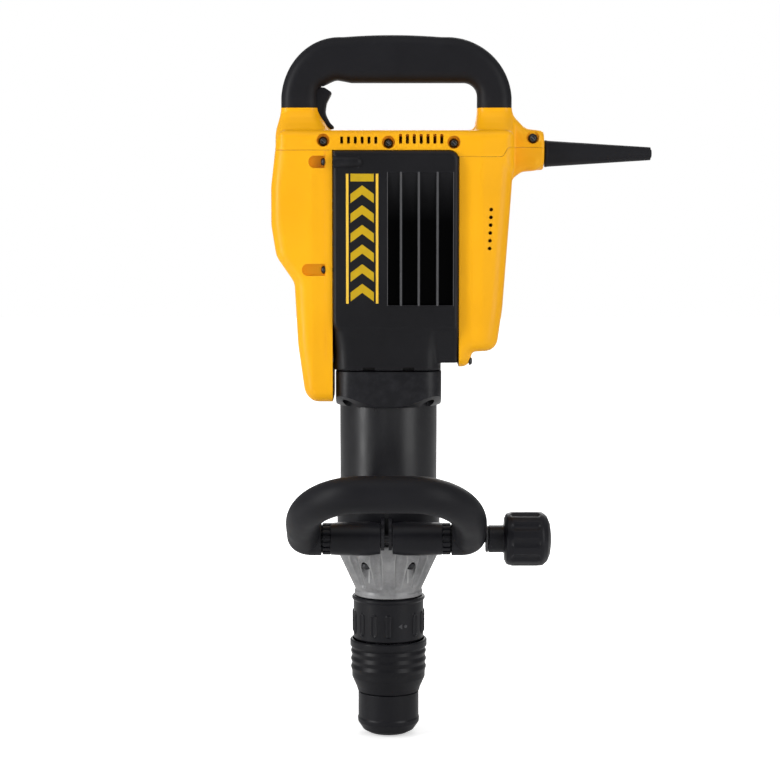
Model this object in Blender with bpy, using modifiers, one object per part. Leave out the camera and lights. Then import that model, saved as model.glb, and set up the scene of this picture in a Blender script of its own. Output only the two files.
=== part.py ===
"""Electric demolition hammer, 10 kg class, with a D-handle on top and a loop handle on the barrel.

It stands upright: +Z runs up the striking axis, with the chisel opening facing down at z = 0.
+X (right) is the side the power cord leaves from, -Y (front) is the side of the loop handle.
Lengths are in mm and become metres when the objects are made. The pieces are laid out about the
striking axis, and all are moved at the end to the hammer's own origin.
"""
import math

import bmesh
import bpy
from mathutils import Matrix, Vector

MM = 0.001

# ---- driving dimensions ----
BODY_HALF_Y = 50.0       # half depth of the yellow housings
CASE_HALF_Y = 55.0       # half depth of the gear case
GRIP_HALF_Y = 19.5       # half depth of the D-grip
HOUSING_BOTTOM = 612.2   # seam between handle housing and gear case
GRIP_SEAM = 655.6        # seam between rubber grip and housing legs
BARREL_R, BARREL_BORE = 50.5, 44.0
CYL_R, CYL_BORE = 30.0, 22.8
CYL_CLEAR_R = CYL_R + 0.8
SHANK_BORE = 9.6         # radius of the chisel shank bore

# gear train: armature pinion, intermediate gear and pinion, crank gear, all on axes along X
MODULE_1, ARMATURE_TEETH, MID_GEAR_TEETH = 1.5, 10, 40
MODULE_2, MID_PINION_TEETH, CRANK_GEAR_TEETH = 1.75, 12, 48
PRESSURE_ANGLE = 20.0    # degrees
BACKLASH = 0.16          # thickness taken off each tooth
MOTOR_Z = 556.0
MID_Z = MOTOR_Z - MODULE_1 * (ARMATURE_TEETH + MID_GEAR_TEETH) / 2
CRANK_Z = MID_Z - MODULE_2 * (MID_PINION_TEETH + CRANK_GEAR_TEETH) / 2
CRANK_THROW = 18.0
ROD_LENGTH = 90.0
PIN_Z = CRANK_Z + CRANK_THROW    # crank pin, at top dead centre
WRIST_Z = PIN_Z - ROD_LENGTH

# the hammer's origin is the bottom centre of its bounding box; the striking axis stands here
AXIS_X_POS, AXIS_Y_POS = -75.1, 64.35

# ---- directions ----
ALONG_X = (0, math.pi / 2, 0)            # a piece made along Z lies along +X
STAND_XZ = (math.pi / 2, 0, 0)           # a flat outline stands in XZ
STAND_YZ = (math.pi / 2, 0, math.pi / 2)  # a flat outline stands in YZ
SHANK_UP = (math.pi, 0, 0)               # ways for a screw's shank to point
SHANK_LEFT = (0, math.pi / 2, 0)
SHANK_RIGHT = (0, -math.pi / 2, 0)
SHANK_BACK = (math.pi / 2, 0, 0)
Y_SIDES = ((-1, "front"), (1, "back"))
CORNERS = ((-1, -1, "left_front"), (-1, 1, "left_back"), (1, -1, "right_front"),
           (1, 1, "right_back"))

# ---- colours ----
YELLOW = (0.93, 0.46, 0.015)
BLACK = (0.018, 0.018, 0.021)
RUBBER = (0.022, 0.022, 0.025)
STEEL = (0.46, 0.46, 0.47)
DARK_STEEL = (0.12, 0.12, 0.13)
ALUMINIUM = (0.48, 0.48, 0.47)
COPPER = (0.72, 0.34, 0.16)
BRASS = (0.66, 0.50, 0.22)
SHARP_ANGLE = 35.0       # degrees; edges sharper than this are not shaded smooth

for old_object in list(bpy.data.objects):
    bpy.data.objects.remove(old_object, do_unlink=True)

PARTS = bpy.data.collections.new("demolition_hammer")
CUTTERS = bpy.data.collections.new("cutters")
bpy.context.scene.collection.children.link(PARTS)
bpy.context.scene.collection.children.link(CUTTERS)
CUTTERS.hide_render = True


# ---------------------------------------------------------------- objects and materials
def material(name, colour, rough, metal):
    mat = bpy.data.materials.new(name)
    mat.use_nodes = True
    node = mat.node_tree.nodes["Principled BSDF"]
    node.inputs["Base Color"].default_value = (*colour, 1.0)
    node.inputs["Roughness"].default_value = rough
    node.inputs["Metallic"].default_value = metal
    return mat


def move_to(obj, collection):
    for old in list(obj.users_collection):
        old.objects.unlink(obj)
    collection.objects.link(obj)


def finish(obj, colour, rough, metal=0.0):
    """Give a piece its own material, smooth shading and a place among the parts."""
    obj.data.materials.clear()
    obj.data.materials.append(material(obj.name + "_mat", colour, rough, metal))
    move_to(obj, PARTS)
    obj.data.shade_smooth()
    obj.data.set_sharp_from_angle(angle=math.radians(SHARP_ANGLE))


def new_object(name, mesh, at=(0, 0, 0), rot=(0, 0, 0)):
    obj = bpy.data.objects.new(name, mesh)
    obj.location = Vector(at) * MM
    obj.rotation_euler = rot
    bpy.context.scene.collection.objects.link(obj)
    return obj


def from_bmesh(name, bm, at=(0, 0, 0), rot=(0, 0, 0)):
    mesh = bpy.data.meshes.new(name)
    bm.to_mesh(mesh)
    bm.free()
    return new_object(name, mesh, at, rot)


def welded_mesh(obj):
    """The object's evaluated shape as a new mesh, with doubles merged and normals outward."""
    bpy.context.view_layer.update()
    graph = bpy.context.evaluated_depsgraph_get()
    mesh = bpy.data.meshes.new_from_object(obj.evaluated_get(graph))
    bm = bmesh.new()
    bm.from_mesh(mesh)
    bmesh.ops.remove_doubles(bm, verts=bm.verts, dist=1e-6)
    bmesh.ops.recalc_face_normals(bm, faces=bm.faces)
    bm.to_mesh(mesh)
    bm.free()
    return mesh


def bake(obj):
    """Apply the modifiers, so that later Booleans see a plain mesh."""
    mesh = welded_mesh(obj)
    old = obj.data
    obj.modifiers.clear()
    obj.data = mesh
    mesh.name = obj.name
    bpy.data.meshes.remove(old)


def boolean(obj, other, kind):
    """Apply a Boolean, and keep the other object as a hidden helper."""
    mod = obj.modifiers.new(kind.lower(), "BOOLEAN")
    mod.operation = kind
    mod.solver = "EXACT"
    mod.object = other
    bake(obj)
    move_to(other, CUTTERS)
    other.hide_render = True
    other.display_type = "WIRE"
    other.name = "cut_" + other.name


def cut(obj, *others):
    for other in others:
        boolean(obj, other, "DIFFERENCE")


def join(obj, *others):
    for other in others:
        boolean(obj, other, "UNION")


def set_origin(obj, at):
    """Move the object's origin to a world point, with the shape staying where it is."""
    bpy.context.view_layer.update()
    obj.data.transform(obj.matrix_world)
    obj.matrix_world = Matrix.Identity(4)
    obj.data.transform(Matrix.Translation(-Vector(at) * MM))
    obj.location = Vector(at) * MM


# ---------------------------------------------------------------- outlines
def fillet(corners, seg):
    """Closed outline from corners (x, y, radius), with seg steps to a quarter turn."""
    out = []
    for i, (x, y, radius) in enumerate(corners):
        if radius <= 0:
            point = Vector((x, y))
            out.append((point.x, point.y))
            continue
        point = Vector((x, y))
        back = Vector(corners[i - 1][:2]) - point
        ahead = Vector(corners[(i + 1) % len(corners)][:2]) - point
        back_length, ahead_length = back.length, ahead.length
        back.normalize()
        ahead.normalize()
        angle = back.angle(ahead)
        reach = min(radius / math.tan(angle / 2), 0.49 * back_length, 0.49 * ahead_length)
        radius = reach * math.tan(angle / 2)
        centre = point + (back + ahead).normalized() * (radius / math.sin(angle / 2))
        start, end = point + back * reach, point + ahead * reach
        arm = start - centre
        turn = arm.angle_signed(end - centre)
        steps = max(2, round(seg * abs(turn) / (math.pi / 2)))
        for k in range(steps + 1):
            t = -turn * k / steps
            out.append((
                centre.x + arm.x * math.cos(t) - arm.y * math.sin(t),
                centre.y + arm.x * math.sin(t) + arm.y * math.cos(t),
            ))
    return out


def offset(corners, distance):
    """Counter-clockwise corners (x, y, radius) moved inward, with each radius following."""
    out = []
    for i, (x, y, radius) in enumerate(corners):
        point = Vector((x, y))
        edge_in = (point - Vector(corners[i - 1][:2])).normalized()
        edge_out = (Vector(corners[(i + 1) % len(corners)][:2]) - point).normalized()
        normal_in = Vector((-edge_in.y, edge_in.x))
        normal_out = Vector((-edge_out.y, edge_out.x))
        bend = edge_in.cross(edge_out)
        moved = point + normal_in * distance
        if abs(bend) >= 1e-6:
            gap = (normal_out - normal_in).dot(normal_out)
            moved = moved + edge_in * (gap * distance / edge_in.dot(normal_out))
        if radius > 0:
            radius = max(radius - distance, 0.25) if bend > 0 else radius + distance
        out.append((moved.x, moved.y, radius))
    return out


def ellipse(centre_x, centre_z, radius_x, radius_z, start, end, steps):
    """Corners (x, z, 0) along an elliptical arc between two angles in degrees."""
    angles = [math.radians(start + (end - start) * k / steps) for k in range(steps + 1)]
    return [(centre_x + radius_x * math.cos(angle), centre_z + radius_z * math.sin(angle), 0)
            for angle in angles]


def repeated_outline(count, points):
    """Points (radius, degrees) repeated count times round a circle."""
    return [
        (radius * math.cos(math.radians(360 / count * k + angle)),
         radius * math.sin(math.radians(360 / count * k + angle)))
        for k in range(count) for radius, angle in points
    ]


def gear_outline(module, teeth, phase):
    """Involute spur gear. phase is the direction, in degrees, of the middle of one tooth."""
    pitch = module * teeth / 2
    base = pitch * math.cos(math.radians(PRESSURE_ANGLE))
    tip = pitch + 0.95 * module
    root = pitch - 1.25 * module

    def involute(radius):
        if radius <= base:
            return 0.0
        t = math.sqrt((radius / base) ** 2 - 1)
        return t - math.atan(t)

    flank_steps = 1 if teeth > 30 else 2
    half_tooth = math.pi / (2 * teeth) - BACKLASH / (2 * pitch)
    at_pitch = involute(pitch)
    start = max(base, root)
    radii = [start + (tip - start) * k / flank_steps for k in range(flank_steps + 1)]
    side = [(radius, half_tooth + at_pitch - involute(radius)) for radius in radii]
    if root < base:
        side = [(root, side[0][1] + 0.02)] + side
    out = []
    for i in range(teeth):
        mid = math.radians(phase) + 2 * math.pi * i / teeth
        for radius, angle in side:
            out.append((radius * math.cos(mid - angle), radius * math.sin(mid - angle)))
        for radius, angle in reversed(side):
            out.append((radius * math.cos(mid + angle), radius * math.sin(mid + angle)))
    return out


# ---------------------------------------------------------------- solids
def curve_object(name, curve, points, cyclic, at, rot):
    """A mesh object from a curve with one straight-segment spline of (x, y, z, radius factor)."""
    spline = curve.splines.new("POLY")
    spline.points.add(len(points) - 1)
    for point, (x, y, z, factor) in zip(spline.points, points):
        point.co = (x * MM, y * MM, z * MM, 1)
        point.radius = factor
    spline.use_cyclic_u = cyclic
    guide = new_object(name + "_guide", curve)
    mesh = welded_mesh(guide)
    bpy.data.objects.remove(guide, do_unlink=True)
    mesh.name = name
    return new_object(name, mesh, at, rot)


def plate(name, outline, half, at=(0, 0, 0), rot=STAND_XZ):
    """A flat outline, drawn in XY before rot turns it, with half its thickness to each side."""
    curve = bpy.data.curves.new(name + "_outline", "CURVE")
    curve.dimensions = "2D"
    curve.fill_mode = "BOTH"
    curve.extrude = half * MM
    return curve_object(name, curve, [(x, y, 0, 1.0) for x, y in outline], True, at, rot)


def tube(name, points, radius, seg, radii=None):
    """A capped round tube along world points; radii gives each point its own radius."""
    curve = bpy.data.curves.new(name + "_path", "CURVE")
    curve.dimensions = "3D"
    curve.bevel_depth = radius * MM
    curve.bevel_resolution = seg
    curve.use_fill_caps = True
    radii = radii or [radius] * len(points)
    stations = [(*point, here / radius) for point, here in zip(points, radii)]
    return curve_object(name, curve, stations, False, (0, 0, 0), (0, 0, 0))


def crowned(name, corners, half, edge, seg, layers):
    """A plate in XZ whose rim is rounded over: a loft through the outline and its offsets."""
    area = sum(corners[i - 1][0] * corners[i][1] - corners[i][0] * corners[i - 1][1]
               for i in range(len(corners)))
    if area < 0:
        corners = corners[::-1]
    rings = []
    for k in range(layers + 1):
        t = math.pi / 2 * k / layers
        outline = fillet(offset(corners, edge * (1 - math.sin(t))), seg)
        rings.append((outline, half - edge * (1 - math.cos(t))))
    bm = bmesh.new()
    rows = []
    for outline, y in [(o, -y) for o, y in rings] + rings[::-1]:
        rows.append([bm.verts.new((x * MM, y * MM, z * MM)) for x, z in outline])
    for low, high in zip(rows, rows[1:]):
        for i in range(len(low)):
            bm.faces.new((low[i - 1], low[i], high[i], high[i - 1]))
    bm.faces.new(rows[0])
    bm.faces.new(rows[-1])
    bmesh.ops.recalc_face_normals(bm, faces=bm.faces)
    return from_bmesh(name, bm)


def lathe(name, profile, steps, at=(0, 0, 0), rot=(0, 0, 0)):
    """A turned shape from a profile (radius, height) about Z. A solid one starts and ends on
    the axis; a hollow one is closed from its last point to its first."""
    bm = bmesh.new()
    verts = [bm.verts.new((radius * MM, 0, height * MM)) for radius, height in profile]
    for a, b in zip(verts, verts[1:]):
        bm.edges.new((a, b))
    solid = profile[0][0] == 0 and profile[-1][0] == 0
    if not solid:
        bm.edges.new((verts[-1], verts[0]))
    obj = from_bmesh(name, bm, at, rot)
    mod = obj.modifiers.new("turn", "SCREW")
    mod.axis = "Z"
    mod.angle = 2 * math.pi
    mod.steps = mod.render_steps = steps
    mod.use_merge_vertices = True
    mod.merge_threshold = 1e-5
    bake(obj)
    return obj


def add_cone(bm, start, end, radius_start, radius_end, steps):
    start, end = Vector(start), Vector(end)
    turn = (end - start).to_track_quat("Z", "Y").to_matrix().to_4x4()
    bmesh.ops.create_cone(
        bm, cap_ends=True, segments=steps, radius1=radius_start * MM, radius2=radius_end * MM,
        depth=(end - start).length * MM,
        matrix=Matrix.Translation((start + end) / 2 * MM) @ turn,
    )


def rod(name, radius, x, y, z, steps):
    """A cylinder. A coordinate that changes along it is a tuple (from, to)."""
    start, end = ([c[i] if isinstance(c, tuple) else c for c in (x, y, z)] for i in (0, 1))
    bm = bmesh.new()
    add_cone(bm, start, end, radius, radius, steps)
    return from_bmesh(name, bm)


def drill(obj, name, radius, x, y, z, steps):
    """Cut a round hole, placed as in rod."""
    cut(obj, rod(name, radius, x, y, z, steps))


def block(name, x, y, z, bevel=0.0):
    """A box between pairs of x, y and z in either order, with its edges bevelled if asked."""
    low = Vector((min(x), min(y), min(z)))
    high = Vector((max(x), max(y), max(z)))
    size = (high - low) * MM
    bm = bmesh.new()
    bmesh.ops.create_cube(
        bm, size=1.0,
        matrix=Matrix.Translation((low + high) / 2 * MM) @ Matrix.Diagonal((*size, 1)))
    obj = from_bmesh(name, bm)
    if bevel:
        mod = obj.modifiers.new("round", "BEVEL")
        mod.width = bevel * MM
        mod.segments = 1
        mod.limit_method = "ANGLE"
        mod.angle_limit = math.radians(40.0)
        mod.use_clamp_overlap = False
        bake(obj)
    return obj


def gear(name, module, teeth, z, x_from, x_to, phase):
    """A spur gear on an X axis at height z; its phase is measured from +Y towards +Z."""
    return plate(name, gear_outline(module, teeth, phase), (x_to - x_from) / 2,
                 at=((x_from + x_to) / 2, 0, z), rot=STAND_YZ)


def screw_piece(name, at, rot, head_r=4.2, head_h=3.6, shank_r=2.4, length=24.0):
    """Pan-head screw, its shank along its own -Z: head top at the origin, with a blind recess."""
    recess_r, recess_depth = 1.6, 1.8
    profile = [
        (0.0, -recess_depth), (recess_r, -recess_depth), (recess_r, 0.0), (head_r, 0.0),
        (head_r, -head_h), (shank_r, -head_h), (shank_r, -length), (0.0, -length),
    ]
    finish(lathe(name, profile, 6, at, rot), STEEL, rough=0.35, metal=1.0)


# ---------------------------------------------------------------- D-grip and handle housing
GRIP_WALL = 5.0
CORE_INSET = 5.4                     # from the grip's outside to the housing's core inside it
GRIP_END_Z = GRIP_SEAM + 0.4
SHELL_INSIDE_Y = BODY_HALF_Y - 4.5
HALF_GAP = 0.15                      # from the middle plane to each shell's face
HOUSING_END_X = 160.3                # right end of the housings
CORD_Z = 609.0
CORDWAY_R, CORDSEAT_R = 6.0, 9.9
CORD_END_HALF_Y = 21.0               # half depth of the housings at the cord
TRIGGER_X, TRIGGER_Z = -68.0, 638.5  # trigger hinge, along Y
HINGE_HOLE_R = 2.3

# x, z and depth of the front face for each handle screw
HANDLE_SCREWS = ((-66.2, 621.0, BODY_HALF_Y), (0.0, 619.0, BODY_HALF_Y),
                 (66.3, 619.0, BODY_HALF_Y), (148.2, 624.5, CORD_END_HALF_Y))

# corners x, z, radius of the handle housing
HOUSING_CORNERS = [
    (-115.4, HOUSING_BOTTOM, 1.5), (71.6, HOUSING_BOTTOM, 0.5), (71.8, 605.4, 0.5),
    (116.0, 605.4, 5), (121.5, 615.0, 4), (HOUSING_END_X, 615.0, 1.5),
    (HOUSING_END_X, 632.4, 3), (141.0, 634.6, 12), (128.2, 648.0, 14),
    (127.0, GRIP_SEAM, 0.6), (91.5, GRIP_SEAM, 0.6), (91.5, 632.4, 11), (-57.0, 632.4, 5),
    (-66.0, 640.0, 8), (-72.2, 653.0, 3), (-72.2, GRIP_SEAM, 0.6), (-110.5, GRIP_SEAM, 0.6),
]
# corners y, z, radius of the back half of the housing seen from the side
FLANK_HALF = [
    (BODY_HALF_Y + 5, 590, 0), (BODY_HALF_Y - 0.2, 600, 0), (BODY_HALF_Y, 629.0, 7),
    (40.0, 636.5, 8), (21.5, 648.0, 10), (19.8, 662.0, 0),
]
# x and z ranges of the rooms in the housing
HOUSING_ROOMS = (((-58.0, -9.0), (606.0, 626.5)), ((9.0, 57.5), (606.0, 626.5)),
                 ((75.5, 112.0), (600.0, 626.0)))
# rows of air slots: count, first x, pitch, half width, top z
AIR_SLOTS = ((6, -47.3, 6.9, 1.5, 625.6), (7, 12.3, 6.95, 1.6, 628.2))
AIR_SLOT_BOTTOM = 618.4
# corners x, z, radius of the trigger, from the top of its concave finger face
TRIGGER_CORNERS = [
    (-58.0, 671.5, 2.0), (-63.5, 661.0, 12), (-65.0, 650.0, 12), (-60.0, 640.5, 6),
    (-54.0, 634.6, 1.8), (-66.0, 633.6, 2), (-74.5, 636.5, 4), (-78.0, 652.0, 4),
    (-78.5, 672.0, 2), (-71.0, 677.0, 2), (-65.5, 676.4, 2),
]


def grip_corners(inset, bottom):
    """Corners x, z, radius of the inverted U, drawn in from its surface by inset."""
    outer = [(127.0 - inset, bottom, 0)]
    outer += ellipse(60.0, 666.0, 66.0 - inset, 64.0 - inset, 4, 88, 7)
    outer += ellipse(-50.0, 668.0, 60.5 - inset, 62.0 - inset, 92, 176, 7)
    outer += [(-110.5 + inset, bottom, 0)]
    inner = [
        (-72.2 - inset, bottom, 0), (-72.2 - inset, 676.0 + inset, 11 - inset),
        (-54.0, 684.6 + inset, 12), (-38.0, 681.6 + inset, 20),
        (91.5 + inset, 681.6 + inset, 14 - inset), (91.5 + inset, bottom, 0),
    ]
    return outer + inner


def make_grip():
    grip = crowned("grip", grip_corners(0.0, 630.0), GRIP_HALF_Y, 11.0, seg=3, layers=3)
    cut(grip, block("grip_end", (-160, 160), (-40, 40), (600, GRIP_END_Z)))
    cut(grip, crowned("grip_hollow", grip_corners(GRIP_WALL, 620.0), GRIP_HALF_Y - GRIP_WALL,
                      3.0, seg=2, layers=1))
    cut(grip, block("trigger_window", (-84.0, -52.0), (-13.0, 13.0), (600.0, 678.5)))
    finish(grip, RUBBER, rough=0.62)


def make_handle_shell(name, side):
    """One half of the handle housing, with its half of the core inside the grip."""
    shell = plate(name, fillet(HOUSING_CORNERS, 3), BODY_HALF_Y)
    # seen from the side, it narrows from the housing up to the grip
    flank = FLANK_HALF + [(-y, z, radius) for y, z, radius in reversed(FLANK_HALF)]
    form = plate(name + "_flank", fillet(flank, 3), 160.0, at=(20, 0, 0), rot=STAND_YZ)
    boolean(shell, form, "INTERSECT")
    join(shell, crowned(name + "_core", grip_corners(CORE_INSET, 645.0),
                        GRIP_HALF_Y - CORE_INSET, 6.0, seg=2, layers=2))
    # thinner from front to back where the cord enters
    for s in (-1, 1):
        cut(shell, block(name + "_cordflat", (139.0, 175), (s * CORD_END_HALF_Y, s * 70),
                         (590, 645)))
    # keep one half
    cut(shell, block(name + "_half", (-200, 200), (side * HALF_GAP, -side * 90), (560, 760)))
    for x, z in HOUSING_ROOMS:
        cut(shell, block(name + "_room", x, (-side * 2.0, side * SHELL_INSIDE_Y), z))
    cut(shell, block(name + "_switchroom", (-105.0, -62.0), (-14.0, 14.0), (614.0, 672.0)))
    cut(shell, block(name + "_window", (-86.0, -50.0), (-13.0, 13.0), (630.0, 679.0)))
    drill(shell, name + "_cordway", CORDWAY_R, (105.0, 162.0), 0, 610.5, 12)
    drill(shell, name + "_cordseat", CORDSEAT_R, (150.0, 162.0), 0, CORD_Z, 12)
    # the screws pass through the front shell and end in the back one
    for x, z, depth in HANDLE_SCREWS:
        if side < 0:
            drill(shell, name + "_pocket", 6.4, x, (-70, -depth + 8.0), z, 14)
            drill(shell, name + "_hole", 2.8, x, (-70, 1), z, 8)
        else:
            drill(shell, name + "_hole", 2.8, x, (-1, 20), z, 8)
    slot_y = (side * (SHELL_INSIDE_Y - 3), side * (SHELL_INSIDE_Y + 9))
    for count, first_x, pitch, half_width, top in AIR_SLOTS:
        for k in range(count):
            x = first_x + pitch * k
            cut(shell, block(name + "_slot", (x - half_width, x + half_width), slot_y,
                             (AIR_SLOT_BOTTOM, top)))
    drill(shell, name + "_pinhole", HINGE_HOLE_R, TRIGGER_X, (-18, 18), TRIGGER_Z, 8)
    finish(shell, YELLOW, rough=0.38)


def make_trigger():
    """The trigger, with its hinge eye at the lower end, and its pin."""
    trigger = crowned("trigger", TRIGGER_CORNERS, 12.4, 1.4, seg=2, layers=1)
    drill(trigger, "trigger_eye", HINGE_HOLE_R, TRIGGER_X, (-20, 20), TRIGGER_Z, 8)
    set_origin(trigger, (TRIGGER_X, 0, TRIGGER_Z))
    finish(trigger, BLACK, rough=0.42)
    pin = rod("trigger_pin", 2.0, TRIGGER_X, (-17.5, 17.5), TRIGGER_Z, 8)
    finish(pin, STEEL, rough=0.3, metal=1.0)


def make_switch():
    switch = block("switch_module", (-103.4, -84.5), (-11.0, 11.0), (616.0, 661.0), bevel=1.2)
    finish(switch, BLACK, rough=0.5)


def make_handle_screws():
    for i, (x, z, depth) in enumerate(HANDLE_SCREWS):
        length = 20.0 if depth > 40 else 28.0
        screw_piece(f"handle_screw_{i + 1}", (x, -depth + 3.6, z), SHANK_BACK, length=length)


def make_cord():
    """The power cord and the tapered sleeve round it where it leaves the housing."""
    sleeve = lathe("cord_sleeve", [
        (6.6, 110.0), (6.6, 109.0), (13.6, 2.0), (13.9, 0.6), (13.0, 0.5), (9.2, 0.5),
        (9.2, -10.0), (4.9, -10.0), (4.9, 110.0),
    ], 16, at=(160.9, 0, CORD_Z), rot=ALONG_X)
    finish(sleeve, RUBBER, rough=0.55)
    cord = tube("power_cord", [(x, 0, CORD_Z) for x in (96.0, 120.0, 160.0, 272.0)], 4.5, 2)
    finish(cord, RUBBER, rough=0.5)


# ---------------------------------------------------------------- drive cover and motor cover
COVER_WALL = 4.2
COVER_EDGE = 12.0                 # rounding of the covers' front and back rims
COVER_SCREWS = (600.2, 490.8)     # heights of the drive cover's screws, front and back
COVER_SCREW_Y = 46.5              # their distance from the middle plane
TAB_SCREW_Y, TAB_SCREW_Z = 38.0, 397.0    # the motor cover's screws
TAP_R = 2.7                       # screw holes in the covers and the case

# corners x, z, radius of each cover and of the room inside it
DRIVE_COVER_CORNERS = [
    (-36.0, 355.0, 3), (-36.0, 640.0, 0), (-111.0, 640.0, 0), (-121.8, 575.0, 50),
    (-121.8, 536.0, 30), (-117.0, 504.0, 18), (-98.6, 477.0, 14), (-94.6, 414.0, 60),
    (-88.0, 364.0, 16), (-79.0, 355.0, 13),
]
DRIVE_ROOM_CORNERS = [
    (-40.0, 360.0, 1), (-40.0, 607.0, 1), (-111.8, 607.0, 9), (-117.8, 575.0, 40),
    (-117.8, 536.0, 26), (-113.6, 506.0, 12), (-94.4, 480.0, 12), (-90.6, 414.0, 50),
    (-83.0, 360.0, 9),
]
MOTOR_COVER_CORNERS = [
    (50.0, 391.0, 1.5), (85.5, 391.0, 13), (88.5, 406.5, 4), (111.5, 407.6, 13),
    (117.6, 451.0, 60), (126.6, 570.0, 40), (127.2, 583.0, 10), (138.0, 590.4, 10),
    (HOUSING_END_X, 592.0, 13), (HOUSING_END_X, 640.0, 0), (50.0, 640.0, 0),
]
MOTOR_ROOM_CORNERS = [
    (55.0, 412.0, 1), (107.6, 412.0, 9), (113.4, 451.0, 50), (122.4, 570.0, 40),
    (121.5, 598.0, 9), (55.0, 598.0, 1),
]
# what is cut off the top of the motor cover, where the handle housing sits
MOTOR_COVER_TOP = [
    (40.0, 604.7, 0), (116.6, 604.7, 5), (122.0, 614.4, 4), (180.0, 614.4, 0),
    (180.0, 660.0, 0), (40.0, 660.0, 0),
]


def make_drive_cover():
    """The cover over the gears, on the left."""
    cover = crowned("drive_cover", DRIVE_COVER_CORNERS, BODY_HALF_Y, COVER_EDGE,
                    seg=3, layers=2)
    cut(cover, block("drive_cover_face", (-57.2, -20), (-60, 60), (340, 650)))
    cut(cover, block("drive_cover_top", (-140, 0), (-60, 60), (611.4, 660)))
    cut(cover, crowned("drive_cover_room", DRIVE_ROOM_CORNERS, BODY_HALF_Y - COVER_WALL, 6.0,
                       seg=2, layers=1))
    screw_places = [(side, z) for side in (-1, 1) for z in COVER_SCREWS]
    for side, z in screw_places:
        join(cover, block("cover_lug", (-82.5, -57.6), (side * 40.8, side * 47.0),
                          (z - 6.4, z + 6.6)))
    for side, z in screw_places:
        cut(cover, block("cover_pocket", (-78.5, -64.0), (side * 42.2, side * 60),
                         (z - 5.2, z + 5.2)))
        drill(cover, "cover_hole", TAP_R, (-70, -50), side * COVER_SCREW_Y, z, 8)
    finish(cover, YELLOW, rough=0.38)
    for side, tag in Y_SIDES:
        for z, level in zip(COVER_SCREWS, ("upper", "lower")):
            screw_piece(f"drive_cover_screw_{tag}_{level}", (-68.2, side * COVER_SCREW_Y, z),
                        SHANK_RIGHT, head_r=3.8, length=18.0)


def make_motor_cover():
    """The cover over the motor, on the right."""
    cover = crowned("motor_cover", MOTOR_COVER_CORNERS, BODY_HALF_Y, COVER_EDGE,
                    seg=3, layers=2)
    cut(cover, block("motor_cover_face", (30.0, 72.0), (-60, 60), (380, 650)))
    cut(cover, plate("motor_cover_top", fillet(MOTOR_COVER_TOP, 3), 60.0))
    for s in (-1, 1):
        cut(cover, block("motor_cover_cordflat", (139.0, 175), (s * CORD_END_HALF_Y, s * 70),
                         (580, 625)))
    cut(cover, crowned("motor_cover_room", MOTOR_ROOM_CORNERS, BODY_HALF_Y - COVER_WALL, 6.0,
                       seg=2, layers=1))
    # boss round the right end of the armature shaft
    join(cover, rod("end_boss", 17.0, (97.0, 123.5), 0, MOTOR_Z, 12))
    drill(cover, "end_boss_bore", 6.3, (90.0, 107.0), 0, MOTOR_Z, 12)
    drill(cover, "cordway", CORDWAY_R, (90.0, 165.0), 0, CORD_Z, 12)
    drill(cover, "cordseat", CORDSEAT_R, (150.0, 165.0), 0, CORD_Z, 12)
    cut(cover, block("cordexit", (105.0, 119.0), (-9, 9), (580, 602.0)))
    for side in (-1, 1):
        for k in range(6):
            drill(cover, "vent", 1.9, 104.4 - 0.3 * k, (side * 36, side * 60),
                  552.0 - 7.9 * k, 6)
        tab_y = side * TAB_SCREW_Y
        drill(cover, "tab_seat", 5.0, (85.5, 100), tab_y, TAB_SCREW_Z, 12)
        drill(cover, "tab_hole", TAP_R, (60, 90), tab_y, TAB_SCREW_Z, 8)
    finish(cover, YELLOW, rough=0.38)
    for side, tag in Y_SIDES:
        screw_piece(f"motor_cover_screw_{tag}", (89.0, side * TAB_SCREW_Y, TAB_SCREW_Z),
                    SHANK_LEFT, head_r=4.4, head_h=3.2, length=18.0)


# ---------------------------------------------------------------- gear case, barrel and cylinder
FLANGE_SCREW = 39.8      # x and y of the four flange screws
FLANGE_HOLE_R = 3.3
NOSE_SCREW_R = 45.6      # radius of the circle of nose screws
# angle of each nose screw in degrees, from -Y towards +X
NOSE_SCREWS = ((30, "front_right"), (150, "back_right"), (210, "back_left"),
               (330, "front_left"))

# corners x, z, radius
CASE_CORNERS = [
    (-53.5, 370.0, 0), (53.6, 370.0, 0), (53.6, 394.4, 2), (71.4, 395.4, 6.5),
    (71.4, 611.6, 9), (-56.0, 611.6, 6.5), (-56.0, 400.0, 20),
]
# corners x, y, radius
FLANGE_CORNERS = [(-54.2, -54.2, 20), (54.4, -54.2, 20), (54.4, 54.2, 20), (-54.2, 54.2, 20)]
# x ranges of the grooves between the cooling fins
FIN_GROOVES = ((-0.6, 11.4), (14.0, 29.4), (32.2, 48.4), (51.2, 65.6))
# radius, height, steps of the bearing bores in the case's left wall
CASE_BORES = (("bore_a", 6.3, MOTOR_Z, 12), ("bore_b", 6.5, MID_Z, 12),
              ("bore_c", 21.0, CRANK_Z, 20))


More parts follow.
